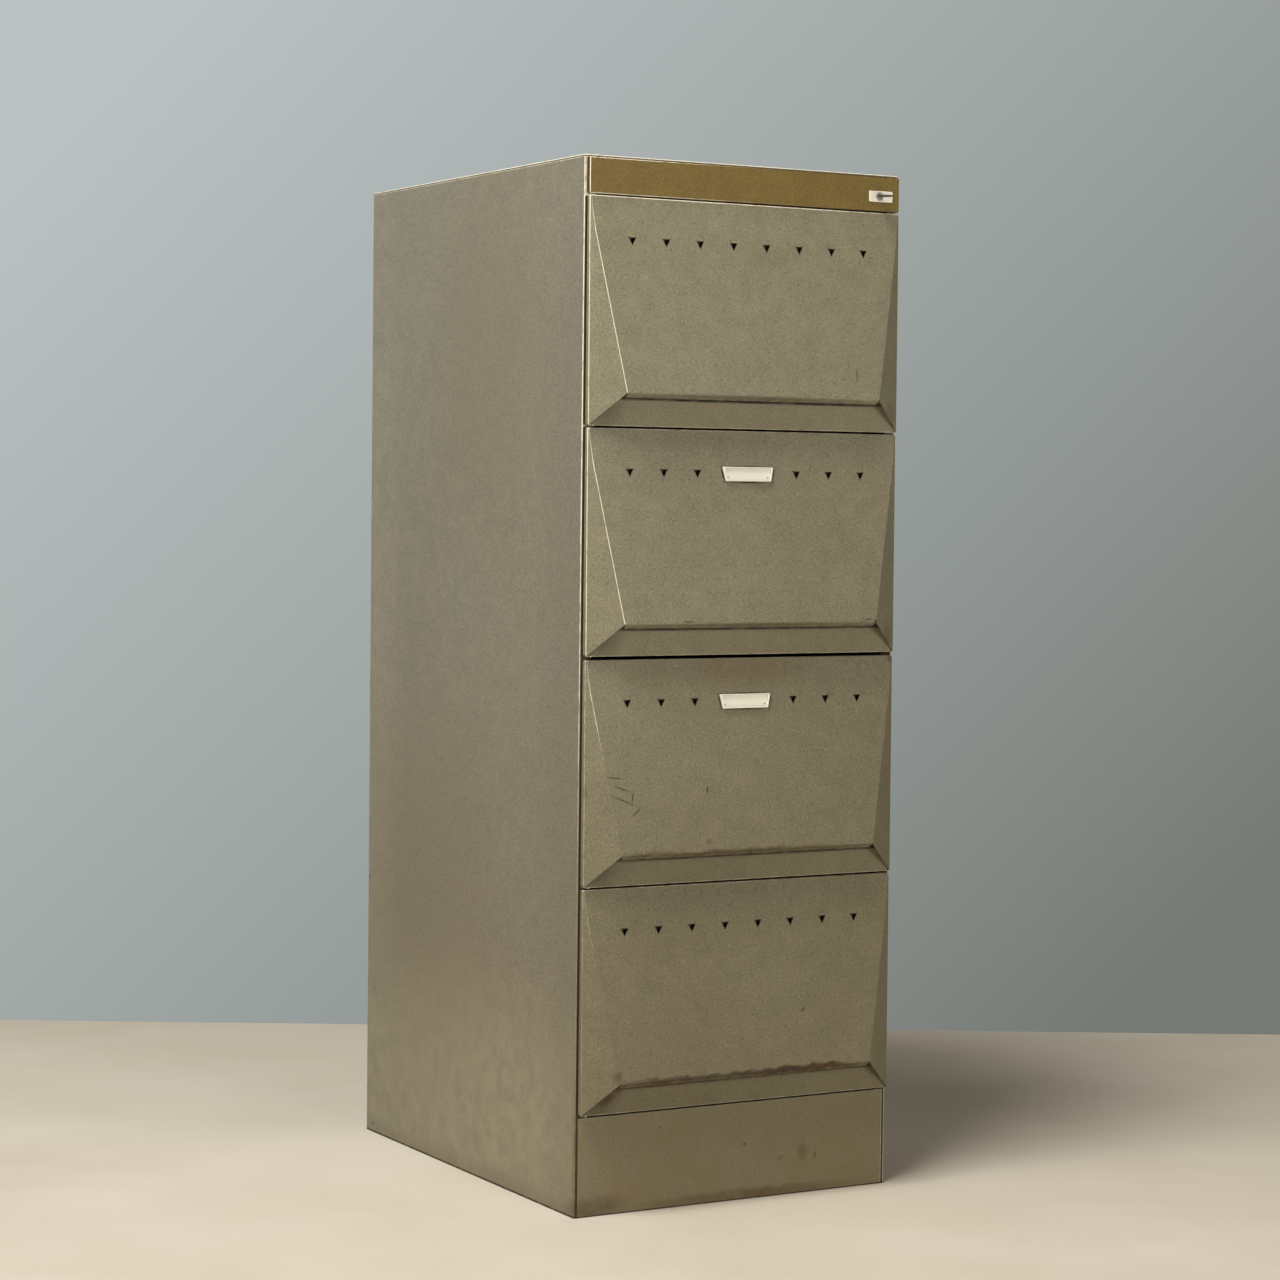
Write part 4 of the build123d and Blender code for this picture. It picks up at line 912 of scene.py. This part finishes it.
def strip_skin(profile, half_width, wear_and_painted_light, base, cut_worn=0.0):
    """A strip folded along X: a (proud, height, bend) profile, with a half width for each point of it."""
    skin = Skin()
    rows = []
    for proud, height, across in bend(profile):
        half = half_width(proud)
        inner = half - 1 * MM
        mark = wear_and_painted_light * across
        rows.append(skin.row([(x, FRONT_Y - proud, base + height, max(mark, cut_worn) if edge else mark)
                              for x, edge in ((-half, 1), (-inner, 0), (0.0, 0), (inner, 0), (half, 1))]))
    skin.loft(rows)
    return skin


class CABINET_OT_pulls(Operator):
    """Make the plates behind the lips that form the finger pulls"""
    bl_idname = "cabinet.pulls"
    bl_label = "Finger pulls"

    def execute(self, context):
        skin_t = context.scene.cabinet_sizes.skin

        def half_width(proud):
            """The plate's flat reaches the edges' inside, and its top strip the facets' backs."""
            if proud > PULL_PROUD + 0.4 * MM:
                return HALF_F - (proud - FACET_BACK) / FACET_BACK_SLOPE - PULL_PLAY
            return HALF_F - skin_t - 0.1 * MM

        for n in DRAWERS:
            profile = [(PULL_BACK, 0.0, 0.0), (PULL_PROUD, 0.0, PULL_BEND),
                       (PULL_PROUD, PULL_TOP_H, PULL_BEND), (PULL_UNDER_LIP, PULL_TOP_H, 0.0)]
            obj = strip_skin(profile, half_width, 0.25, BASES[n]).piece(f"drawer_{n}_finger_pull")
            wall(obj, skin_t)
            place_piece(obj, f"drawer_{n}", "pull_enamel", f"drawer_{n}_pull_plate")
        return {"FINISHED"}


class CABINET_OT_plinth(Operator):
    """Make the plinth, a folded strip between the sides"""
    bl_idname = "cabinet.plinth"
    bl_label = "Plinth"

    def execute(self, context):
        s = context.scene.cabinet_sizes
        height = PLINTH_HIGH.z - PLINTH_LOW.z
        depth = PLINTH_HIGH.y - PLINTH_LOW.y
        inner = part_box("front_right_upright")[0].x - PLAY
        profile = [(-depth, 0.0, 0.0), (-1.2 * s.pan_bend, 0.0, HAIR), (0.0, 0.0, s.pan_bend),
                   (0.0, height, s.pan_bend), (-1.2 * s.pan_bend, height, HAIR), (-depth, height, 0.0)]
        skin = strip_skin(profile, lambda proud: PLINTH_HIGH.x if proud > -s.sheet else inner, 0.3, 0.0, -1.0)
        for z in (1.6 * s.pan_bend, 3.5 * MM):
            everything = [*skin.mesh.verts, *skin.mesh.edges, *skin.mesh.faces]
            bmesh.ops.bisect_plane(skin.mesh, geom=everything, plane_co=(0.0, 0.0, z),
                                   plane_no=(0.0, 0.0, 1.0))
        for vert in skin.mesh.verts:
            at_end = abs(vert.co.x) > PLINTH_HIGH.x - 0.5 * MM
            if vert.co.z < s.pan_bend:
                # painted black where it meets the floor: a painted contact shadow
                vert[skin.wear_and_painted_light] = -2.5
            elif at_end:
                # brown dirt in its seam with the left side, and painted pale at the right: a painted
                # highlight
                vert[skin.wear_and_painted_light] = -0.4 if vert.co.x < 0 else 0.5
            else:
                vert[skin.wear_and_painted_light] = max(vert[skin.wear_and_painted_light], 0.0)
        obj = skin.piece("plinth_strip")
        wall(obj, s.sheet)
        place_piece(obj, "case", "case_enamel", "plinth_front")
        return {"FINISHED"}


# ------------------------------------------------------------------ case


def side_skin(sign):
    """A side: front return with its rounded corner, the flat, and the rear return."""
    s = bpy.context.scene.cabinet_sizes
    back_y = SIDE_HIGH.y
    skin = Skin()
    notch_x = PLINTH_HIGH.x + PLAY
    path = bend([(notch_x, FRONT_Y, 0.0), (HALF_W, FRONT_Y, s.case_bend), (HALF_W, back_y, s.rear_bend),
                 (SIDE_LOW.x, back_y, 0.0)])
    front = [(SIDE_LOW.x, FRONT_Y, 0.45), (SIDE_LOW.x + 0.8 * MM, FRONT_Y, 0.0)]
    top = SIDE_HIGH.z
    split = PLINTH_HIGH.z + 0.2 * MM
    # the bottom edge is painted black, a painted contact shadow on the floor, and the top edge pale: thinned
    # paint with a painted highlight
    levels = [(0.0, -2.5), (3 * MM, 0.0), (split, 0.0), (top - 1.2 * MM, 0.0), (top, 0.6)]
    for low_z in BASES.values():
        levels += [(low_z + up, 0.0) for up in (0.5 * MM, 3 * MM, FRONT_H - 3 * MM, FRONT_H - 0.5 * MM)]
    levels.sort()
    rows = []
    for z, edge in levels:
        row = []
        beside = any(low_z + 2 * MM < z < low_z + FRONT_H - 2 * MM for low_z in BASES.values())
        for x, y, across in front + path:
            wear_and_painted_light = across
            if y == FRONT_Y:
                # painted shade darkens the return where a front stands before it, with grease; between fronts
                # it is painted pale, a painted highlight, above the second drawer and painted dark, painted
                # shade, below it
                wear_and_painted_light = -2.5 if beside else 0.5 if z > BASES[2] + FRONT_H else -1.6
            elif y > 0:
                wear_and_painted_light = 0.7 * across
            elif z > split:
                # the corner is painted pale, more so higher up: a painted highlight on the bend, with thinned
                # paint
                wear_and_painted_light = across ** 3 * min(max((z - 0.3) / 0.7, 0.0), 1.0)
            else:
                # beside the plinth the left corner is brown with dirt, and the right one is painted pale: a
                # painted highlight
                wear_and_painted_light = across * (0.9 if sign > 0 else -0.35)
            row.append((sign * x, y, z, edge if edge else wear_and_painted_light))
        rows.append(skin.row(row))
    for (z, _), low, high in zip(levels, rows, rows[1:]):
        # beside the plinth the return is cut away
        first = 2 if z < split - HAIR else 0
        a, b = low[first:], high[first:]
        skin.span(a, b) if sign > 0 else skin.span(b, a)
    loose = [v for v in skin.mesh.verts if not v.link_faces]
    bmesh.ops.delete(skin.mesh, geom=loose, context="VERTS")
    return skin


class CABINET_OT_sides(Operator):
    """Make the two side panels with their rounded corners and returns"""
    bl_idname = "cabinet.sides"
    bl_label = "Side panels"

    def execute(self, context):
        for name, sign in (("left_side", -1), ("right_side", 1)):
            obj = side_skin(sign).piece(f"{name}_sheet")
            wall(obj, context.scene.cabinet_sizes.sheet)
            place_piece(obj, "case", "case_enamel", f"{name}_panel")
        return {"FINISHED"}


class CABINET_OT_lid(Operator):
    """Make the shallow lid with its rolled upper edge"""
    bl_idname = "cabinet.lid"
    bl_label = "Lid"

    def execute(self, context):
        s = context.scene.cabinet_sizes
        half_y = (LID_HIGH.y - LID_LOW.y) / 2
        low, top = SIDE_HIGH.z, LID_HIGH.z
        # the rolled top edge is painted pale: thinned paint with a painted highlight; the lower edge is dark
        # at the joint with the sides
        levels = [(low, 0.0, -2.0), (low + 0.8 * MM, 0.0, 0.0), *rolled(top, s.pan_bend, 1.4),
                  (top, 6 * MM, 0.0)]
        obj = pan_skin(HALF_W, half_y, s.rear_bend, levels, lambda u, v, w: (u, v, w)).piece("lid_sheet")
        wall(obj, s.sheet)
        # the centring flange under the lid, inside the sides
        rings = []
        for inset, z in ((s.sheet, top - s.sheet), (s.sheet, top - FLANGE_H), (0.0, top - FLANGE_H),
                         (0.0, top - s.sheet)):
            around = ring(HALF_W - s.sheet - 0.2 * MM - inset, half_y - FLANGE_INSET - inset, 2 * MM)
            rings.append([(u, v, z, 0.0) for u, v in around])
        flange = Skin().tube(rings)
        flange.mesh.from_mesh(obj.data)
        flange.mesh.to_mesh(obj.data)
        flange.mesh.free()
        place_piece(obj, "case", "case_enamel", "top_panel")
        return {"FINISHED"}


class CABINET_OT_fascia(Operator):
    """Make the ochre fascia cover, bored for the lock"""
    bl_idname = "cabinet.fascia"
    bl_label = "Fascia"

    def execute(self, context):
        s = context.scene.cabinet_sizes
        mid_z = (COVER_LOW.z + COVER_HIGH.z) / 2
        proud = FRONT_Y - COVER_LOW.y
        # the side walls are painted dark, painted shade on the returns, and the rolled edge pale
        levels = [(0.0, 0.0, -1.4), (proud - 1.6 * s.pan_bend, 0.0, -1.1), *rolled(proud, s.pan_bend, 1.0),
                  (proud, s.pan_bend + 0.7 * MM, 0.0)]
        skin = pan_skin(COVER_HIGH.x, (COVER_HIGH.z - COVER_LOW.z) / 2, 1.6 * MM, levels,
                        lambda u, v, w: (u, FRONT_Y - w, mid_z + v))
        for vert in skin.mesh.verts:
            # the pale edge, thinned paint with painted highlight, is strongest at the left and along the top,
            # less to the right and below; the right end is painted dark, painted shade
            share = 1.0 if vert.co.x < -0.2 else 1.25 if vert.co.z > mid_z else 0.5
            if vert.co.x > COVER_HIGH.x - 2 * MM:
                share = -0.8
            if vert[skin.wear_and_painted_light] > 0:
                vert[skin.wear_and_painted_light] *= share
        obj = skin.piece("fascia_cover_sheet")
        wall(obj, s.sheet)
        radius = BARREL_R + 0.1 * MM
        bore(obj, turned([(radius, FRONT_Y - 2 * proud), (radius, FRONT_Y + proud)]))
        place_piece(obj, "case", "fascia_paint", "fascia_cover")
        return {"FINISHED"}


# ------------------------------------------------------------------ label holders


def label_ring(inset, top_inset, s):
    """The holder's outline, a trapezoid with rounded corners, set in by one amount all round and by
    another at its top."""
    slant = (s.label_top - s.label_bottom) / 2 / s.label_height
    high, deep = s.label_height / 2 - top_inset, inset - s.label_height / 2
    middle = (s.label_top + s.label_bottom) / 4 - inset
    top, low = middle + slant * high, middle + slant * deep
    corners = [(top, high), (-top, high), (-low, deep), (low, deep)]
    points = []
    for i, here in enumerate(corners):
        before, after = corners[i - 1], corners[(i + 1) % 4]
        path = bend([(*before, 0.0), (*here, LABEL_CORNER), (*after, 0.0)], steps=3)
        points += [(u, v) for u, v, _ in path[1:-1]]
    return points


class CABINET_OT_labels(Operator):
    """Make the moulded label holders of the second and third drawers"""
    bl_idname = "cabinet.labels"
    bl_label = "Label holders"

    def execute(self, context):
        s = context.scene.cabinet_sizes
        depth, rim, top_rim = s.label_depth, s.label_rim, s.label_top_rim
        floor = 1.4 * MM
        # height, inset at the sides, inset at the top, painted shadow in the joint with the panel
        levels = [(0.0, 0.0, 0.0, -1.0), (0.5 * MM, 0.0, 0.0, -0.9), (1.0 * MM, 0.0, 0.0, 0.0)]
        levels += [(depth - down * MM, inset * MM, inset * MM, 0.0)
                   for down, inset in ((1.0, 0.05), (0.55, 0.2), (0.18, 0.55), (0.0, 1.0))]
        levels += [(depth - down * MM, rim - side * MM, top_rim - top * MM, 0.0)
                   for down, side, top in ((0.0, 0.7, 0.4), (0.15, 0.35, 0.2), (0.6, 0.1, 0.1))]
        # painted shade where the rim meets the card's floor
        levels.append((floor, rim, top_rim, -0.5))
        # pegs that hold it in the two middle slots, at the widest place of each
        slant_side = math.hypot(s.slot_width / 2, s.slot_height)
        widest = s.slot_width * s.slot_height / (s.slot_width + 2 * slant_side)
        peg_v = s.slot_height / 2 - widest
        peg = ((-3.0 * MM, 1.4 * MM), (-2.6 * MM, 1.9 * MM), (0.2 * MM, 1.9 * MM))
        for n in LABELLED:
            # X right, Y up the panel, Z outwards
            place = axes_at(slot_middle(n), Vector((1.0, 0.0, 0.0)), PANEL_OUT)
            skin = Skin().shell([[(*(place @ Vector((u, v, w))), dirt_and_shade)
                                  for u, v in label_ring(inset, top_inset, s)]
                                 for w, inset, top_inset, dirt_and_shade in levels], floor=True)
            for peg_u in (-s.slot_pitch / 2, s.slot_pitch / 2):
                skin.shell([[(*(place @ Vector((peg_u + u, peg_v + v, w))), 0.0)
                             for u, v in circle(radius, 16)] for w, radius in peg], floor=True)
            obj = skin.piece(f"drawer_{n}_label_moulding")
            place_piece(obj, f"drawer_{n}", "label_plastic", f"drawer_{n}_label_holder", crisp=50.0)
        return {"FINISHED"}


# ------------------------------------------------------------------ lock


class CABINET_OT_lock(Operator):
    """Make the lock's plate and its housing with the nose ring"""
    bl_idname = "cabinet.lock"
    bl_label = "Lock"

    def execute(self, context):
        # plate: a rounded moulding with a soft edge, bored for the nose
        mid = (PLATE_LOW + PLATE_HIGH) / 2
        half = (PLATE_HIGH - PLATE_LOW) / 2
        thick = PLATE_HIGH.y - PLATE_LOW.y
        # its foot is painted dark: a painted contact shadow on the fascia
        levels = [(0.0, 0.0, -1.0), (0.4 * MM, 0.0, -0.9), *rolled(thick, 0.6 * MM, 0.0),
                  (thick, 1.2 * MM, 0.0)]
        skin = pan_skin(half.x, half.z, 1.2 * MM, levels,
                        lambda u, v, w: (mid.x + u, PLATE_HIGH.y - w, mid.z + v))
        bottom = [v for v in skin.mesh.verts if abs(v.co.y - PLATE_HIGH.y) < 1e-7]
        bmesh.ops.contextual_create(skin.mesh, geom=bottom)
        plate = skin.outwards().piece("lock_plate_moulding")
        radius = 5.6 * MM
        bore(plate, turned([(radius, PLATE_LOW.y - thick), (radius, PLATE_HIGH.y + thick)]))
        place_piece(plate, "case", "lock_plate_plastic", "lock_plate")

        # housing: a turned barrel whose nose ring has a rounded rim
        nose_r, bore_r = 5.5 * MM, 4.65 * MM
        shoulder, nose_y, back = PLATE_HIGH.y, BARREL_LOW.y, BARREL_HIGH.y
        profile = [(bore_r, back), (BARREL_R - 0.5 * MM, back), (BARREL_R, back - 0.5 * MM),
                   (BARREL_R, shoulder + 0.3 * MM), (BARREL_R - 0.3 * MM, shoulder), (nose_r, shoulder),
                   (nose_r, nose_y + 0.35 * MM), (nose_r - 0.12 * MM, nose_y + 0.1 * MM),
                   (nose_r - 0.35 * MM, nose_y), (bore_r + 0.2 * MM, nose_y), (bore_r, nose_y + 0.25 * MM)]
        housing = Skin().tube(turned(profile, 48)).outwards().piece("lock_nose_ring")
        place_piece(housing, "case", "lock_metal", "lock_housing")
        return {"FINISHED"}


class CABINET_OT_key(Operator):
    """Make the flat key with its stamped round bow and cut bitting"""
    bl_idname = "cabinet.key"
    bl_label = "Key"

    def execute(self, context):
        low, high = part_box("key")
        bow_r = (high.x - low.x) / 2
        centre = Vector((LOCK.x, low.y + bow_r, LOCK.z))
        half_w, half_t, edge = 3.4 * MM, 0.7 * MM, 0.25 * MM
        start = centre.y + math.sqrt(bow_r ** 2 - half_w ** 2)
        blade = high.y - start
        # outline of the key seen from above, anticlockwise: bow, blade with its cuts at the right, tip
        first = math.asin(half_w / bow_r)
        turns = [math.pi / 2 + first + k / 40 * (2 * math.pi - 2 * first) for k in range(41)]
        outline = [(centre.x + bow_r * math.cos(a), centre.y + bow_r * math.sin(a)) for a in turns]
        # cuts as (share of the blade's length, depth in millimetres)
        cuts = ((0.42, 0.0), (0.47, 0.9), (0.53, 0.9), (0.57, 0.3), (0.62, 1.3), (0.68, 1.3), (0.73, 0.5),
                (0.79, 1.0), (0.84, 1.0), (0.88, 0.2), (0.93, 0.2), (1.0, 2.2))
        outline += [(LOCK.x + half_w - depth * MM, start + share * blade) for share, depth in cuts]
        outline += [(LOCK.x - half_w + 1.6 * MM, high.y), (LOCK.x - half_w, high.y - 1.6 * MM)]
        rings = []
        for z, inset in ((-half_t, edge), (-half_t + edge, 0.0), (half_t - edge, 0.0), (half_t, edge)):
            around = []
            for i, (x, y) in enumerate(outline):
                before, after = Vector(outline[i - 1]), Vector(outline[(i + 1) % len(outline)])
                along = (after - before).normalized()
                around.append((x - along.y * inset, y + along.x * inset, LOCK.z + z, 0.0))
            rings.append(around)
        key = Skin().shell(rings, floor=True).piece("flat_key")
        # the hole for a ring, near the end of the bow
        hole_y = centre.y - 4 * MM
        bore(key, [[(centre.x + u, hole_y + v, LOCK.z + z, 0.0) for u, v in circle(2.5 * MM, 32)]
                   for z in (-3 * MM, 3 * MM)])
        place_piece(key, "key", "key_steel", "key")
        return {"FINISHED"}


# ------------------------------------------------------------------ pieces kept from the CAD


# folded sections behind the fronts, painted near black as painted shade, so that they show only as darkness
# in the gaps
INNER_FRAME = ("fascia_rail", "front_left_upright", "front_right_upright")


class CABINET_OT_kept(Operator):
    """Give every CAD piece that stays visible its finish"""
    bl_idname = "cabinet.kept"
    bl_label = "Kept pieces"

    def execute(self, context):
        slots = {part["node"]: part["material_slot"] for part in frame["record"]["subparts"]}
        for node, obj in frame["nodes"].items():
            material = finish("inner_frame" if node in INNER_FRAME else slots[node])
            if not obj.material_slots:
                obj.data.materials.append(material)
            for slot in obj.material_slots:
                slot.material = material
        return {"FINISHED"}


# ------------------------------------------------------------------ stage


CAMERA_PLACE = Vector((-2.0730, -3.7239, 0.8995))
CAMERA_AHEAD = Vector((0.49117, 0.86988, -0.04544))
CAMERA_UP = Vector((0.01237, 0.04519, 0.99890))
LENS_MM, SENSOR_MM = 88.31, 36.0
# the floor's edges from under the camera: to either side, behind it, and ahead, where the
# photograph's floor ends
FLOOR_SIDE, FLOOR_BEHIND, FLOOR_AHEAD = 7, -3, 5.3
# where the background is lightest, and the point that the softboxes face
LIGHT_SIDE = Vector((-0.860, 0.535, 0.987))
LIT_POINT = Vector((0.0, 0.0, 0.65))
# softboxes: degrees round from the front to the right, degrees up, watts, tint; all stand equally
# far away, with their middles no lower than a set height
SOFTBOXES = (("key_softbox", -60, 60, 172.0, "FFFAF2"), ("side_softbox", -60, 3, 30.0, "FFFAF2"),
             ("rear_softbox", -90, 60, 18.0, "FFFAF2"), ("fill_softbox", 4, 7, 44.0, "FFFAF2"),
             ("warm_softbox", 40, 72, 12.0, "FFD49A"))
SOFTBOX_FAR, SOFTBOX_LOW, SOFTBOX_SIZE = 4.2, 0.95, 1.7


class CABINET_OT_stage(Operator):
    """Make the pale floor, soft light, plain background and camera"""
    bl_idname = "cabinet.stage"
    bl_label = "Stage"

    def execute(self, context):
        scene = context.scene
        # floor: pale screed, as wide as the view
        across = Vector((CAMERA_AHEAD.y, -CAMERA_AHEAD.x, 0.0)).normalized()
        along = Vector((CAMERA_AHEAD.x, CAMERA_AHEAD.y, 0.0)).normalized()
        origin = Vector((CAMERA_PLACE.x, CAMERA_PLACE.y, -0.3 * MM))
        floor = Skin()
        corners = [origin + across * u + along * v
                   for u, v in ((-FLOOR_SIDE, FLOOR_BEHIND), (FLOOR_SIDE, FLOOR_BEHIND),
                                (FLOOR_SIDE, FLOOR_AHEAD), (-FLOOR_SIDE, FLOOR_AHEAD))]
        floor.mesh.faces.new(floor.row([(*c, 0.0) for c in corners]))
        obj = floor.piece("floor")
        material, tree, shader, where = surface("pale_floor_screed", Metallic=0.0, Roughness=0.75)
        # trowel clouds about 300 mm across and a fine speckle of 6 mm
        clouds = add(tree, "TexNoise", {"Vector": where, "Scale": 1 / (300 * MM), "Detail": 5.0})
        speck = add(tree, "TexNoise", {"Vector": where, "Scale": 1 / (6 * MM), "Detail": 2.0})
        mixed = add(tree, "Math", speck, 0.25, clouds, operation="MULTIPLY_ADD")
        ramp = add(tree, "MapRange", {"Value": mixed, "From Min": 0.35, "From Max": 0.95})
        base = add(tree, "Mix", {0: ramp, 6: linear("D6CEBD"), 7: linear("E4DED2")}, data_type="RGBA")
        tree.links.new(live(base), shader.inputs["Base Color"])
        obj.data.materials.append(material)

        # a painted studio: grey-blue, lighter up and to the left, dimmer overhead and behind the camera
        world = bpy.data.worlds.new("plain_grey_blue")
        scene.world = world
        world.use_nodes = True
        tree = world.node_tree
        tree.nodes.clear()
        way = add(tree, "TexCoord").outputs["Generated"]
        # the ranges run along how far a direction leans to the lighter side, faces ahead, or rises
        lean = add(tree, "VectorMath", way, LIGHT_SIDE, operation="DOT_PRODUCT")
        lighter = add(tree, "MapRange", {"Value": lean, "From Min": -0.27, "From Max": 0.34})
        paint = add(tree, "Mix", {0: lighter, 6: linear("767A75"), 7: linear("BAC2C2")}, data_type="RGBA")
        facing = add(tree, "VectorMath", way, CAMERA_AHEAD, operation="DOT_PRODUCT")
        strength = add(tree, "MapRange", {"Value": facing, "From Min": -0.2, "From Max": 0.85,
                                          "To Min": 0.15})
        parts = add(tree, "SeparateXYZ", way)
        overhead = add(tree, "MapRange", {"Value": parts.outputs["Z"], "From Min": 0.25, "From Max": 0.6,
                                          "To Min": 1.0, "To Max": 0.15})
        strength = add(tree, "Math", strength, overhead, operation="MULTIPLY")
        sky = add(tree, "Background", paint, strength)
        add(tree, "OutputWorld", sky)

        for name, azimuth, elevation, power, tint in SOFTBOXES:
            toward = Matrix.Rotation(math.radians(azimuth), 3, "Z") @ Matrix.Rotation(
                -math.radians(elevation), 3, "X") @ Vector((0.0, -1.0, 0.0))
            place = LIT_POINT + toward * SOFTBOX_FAR
            place.z = max(place.z, SOFTBOX_LOW)
            light = bpy.data.lights.new(name, "AREA")
            light.shape = "RECTANGLE"
            light.size = light.size_y = SOFTBOX_SIZE
            light.energy = power
            light.color = linear(tint)[:3]
            obj = bpy.data.objects.new(name, light)
            obj.location = place
            obj.rotation_mode = "QUATERNION"
            obj.rotation_quaternion = (LIT_POINT - place).to_track_quat("-Z", "Y")
            scene.collection.objects.link(obj)

        lens = bpy.data.cameras.new("camera")
        lens.lens = LENS_MM
        lens.sensor_width = SENSOR_MM
        camera = bpy.data.objects.new("camera", lens)
        back = -CAMERA_AHEAD.normalized()
        camera.matrix_world = axes_at(CAMERA_PLACE, CAMERA_UP.cross(back).normalized(), back)
        scene.collection.objects.link(camera)
        scene.camera = camera
        scene.view_settings.view_transform = "Standard"
        return {"FINISHED"}


# ------------------------------------------------------------------ add-on


PIECES = (CABINET_OT_kept, CABINET_OT_sides, CABINET_OT_lid, CABINET_OT_plinth, CABINET_OT_fascia,
          CABINET_OT_fronts, CABINET_OT_pulls, CABINET_OT_labels, CABINET_OT_lock, CABINET_OT_key,
          CABINET_OT_stage)


class CABINET_PT_sidebar(Panel):
    """Sizes, colours and makers of the cabinet"""
    bl_idname = "CABINET_PT_sidebar"
    bl_label = "Filing Cabinet"
    bl_space_type = "VIEW_3D"
    bl_region_type = "UI"
    bl_category = "Cabinet"

    def draw(self, context):
        for group in (context.scene.cabinet_sizes, context.scene.cabinet_colours):
            box = self.layout.box()
            for name in group.__annotations__:
                box.prop(group, name)
        for piece in PIECES:
            self.layout.operator(piece.bl_idname)


CLASSES = (CabinetSizes, CabinetColours, *PIECES, CABINET_PT_sidebar)


def register():
    for item in CLASSES:
        bpy.utils.register_class(item)
    bpy.types.Scene.cabinet_sizes = PointerProperty(type=CabinetSizes)
    bpy.types.Scene.cabinet_colours = PointerProperty(type=CabinetColours)


def unregister():
    del bpy.types.Scene.cabinet_sizes
    del bpy.types.Scene.cabinet_colours
    for item in reversed(CLASSES):
        bpy.utils.unregister_class(item)


def main():
    register()
    for piece in PIECES:
        group, name = piece.bl_idname.split(".")
        getattr(getattr(bpy.ops, group), name)()


if __name__ == "__main__":
    main()
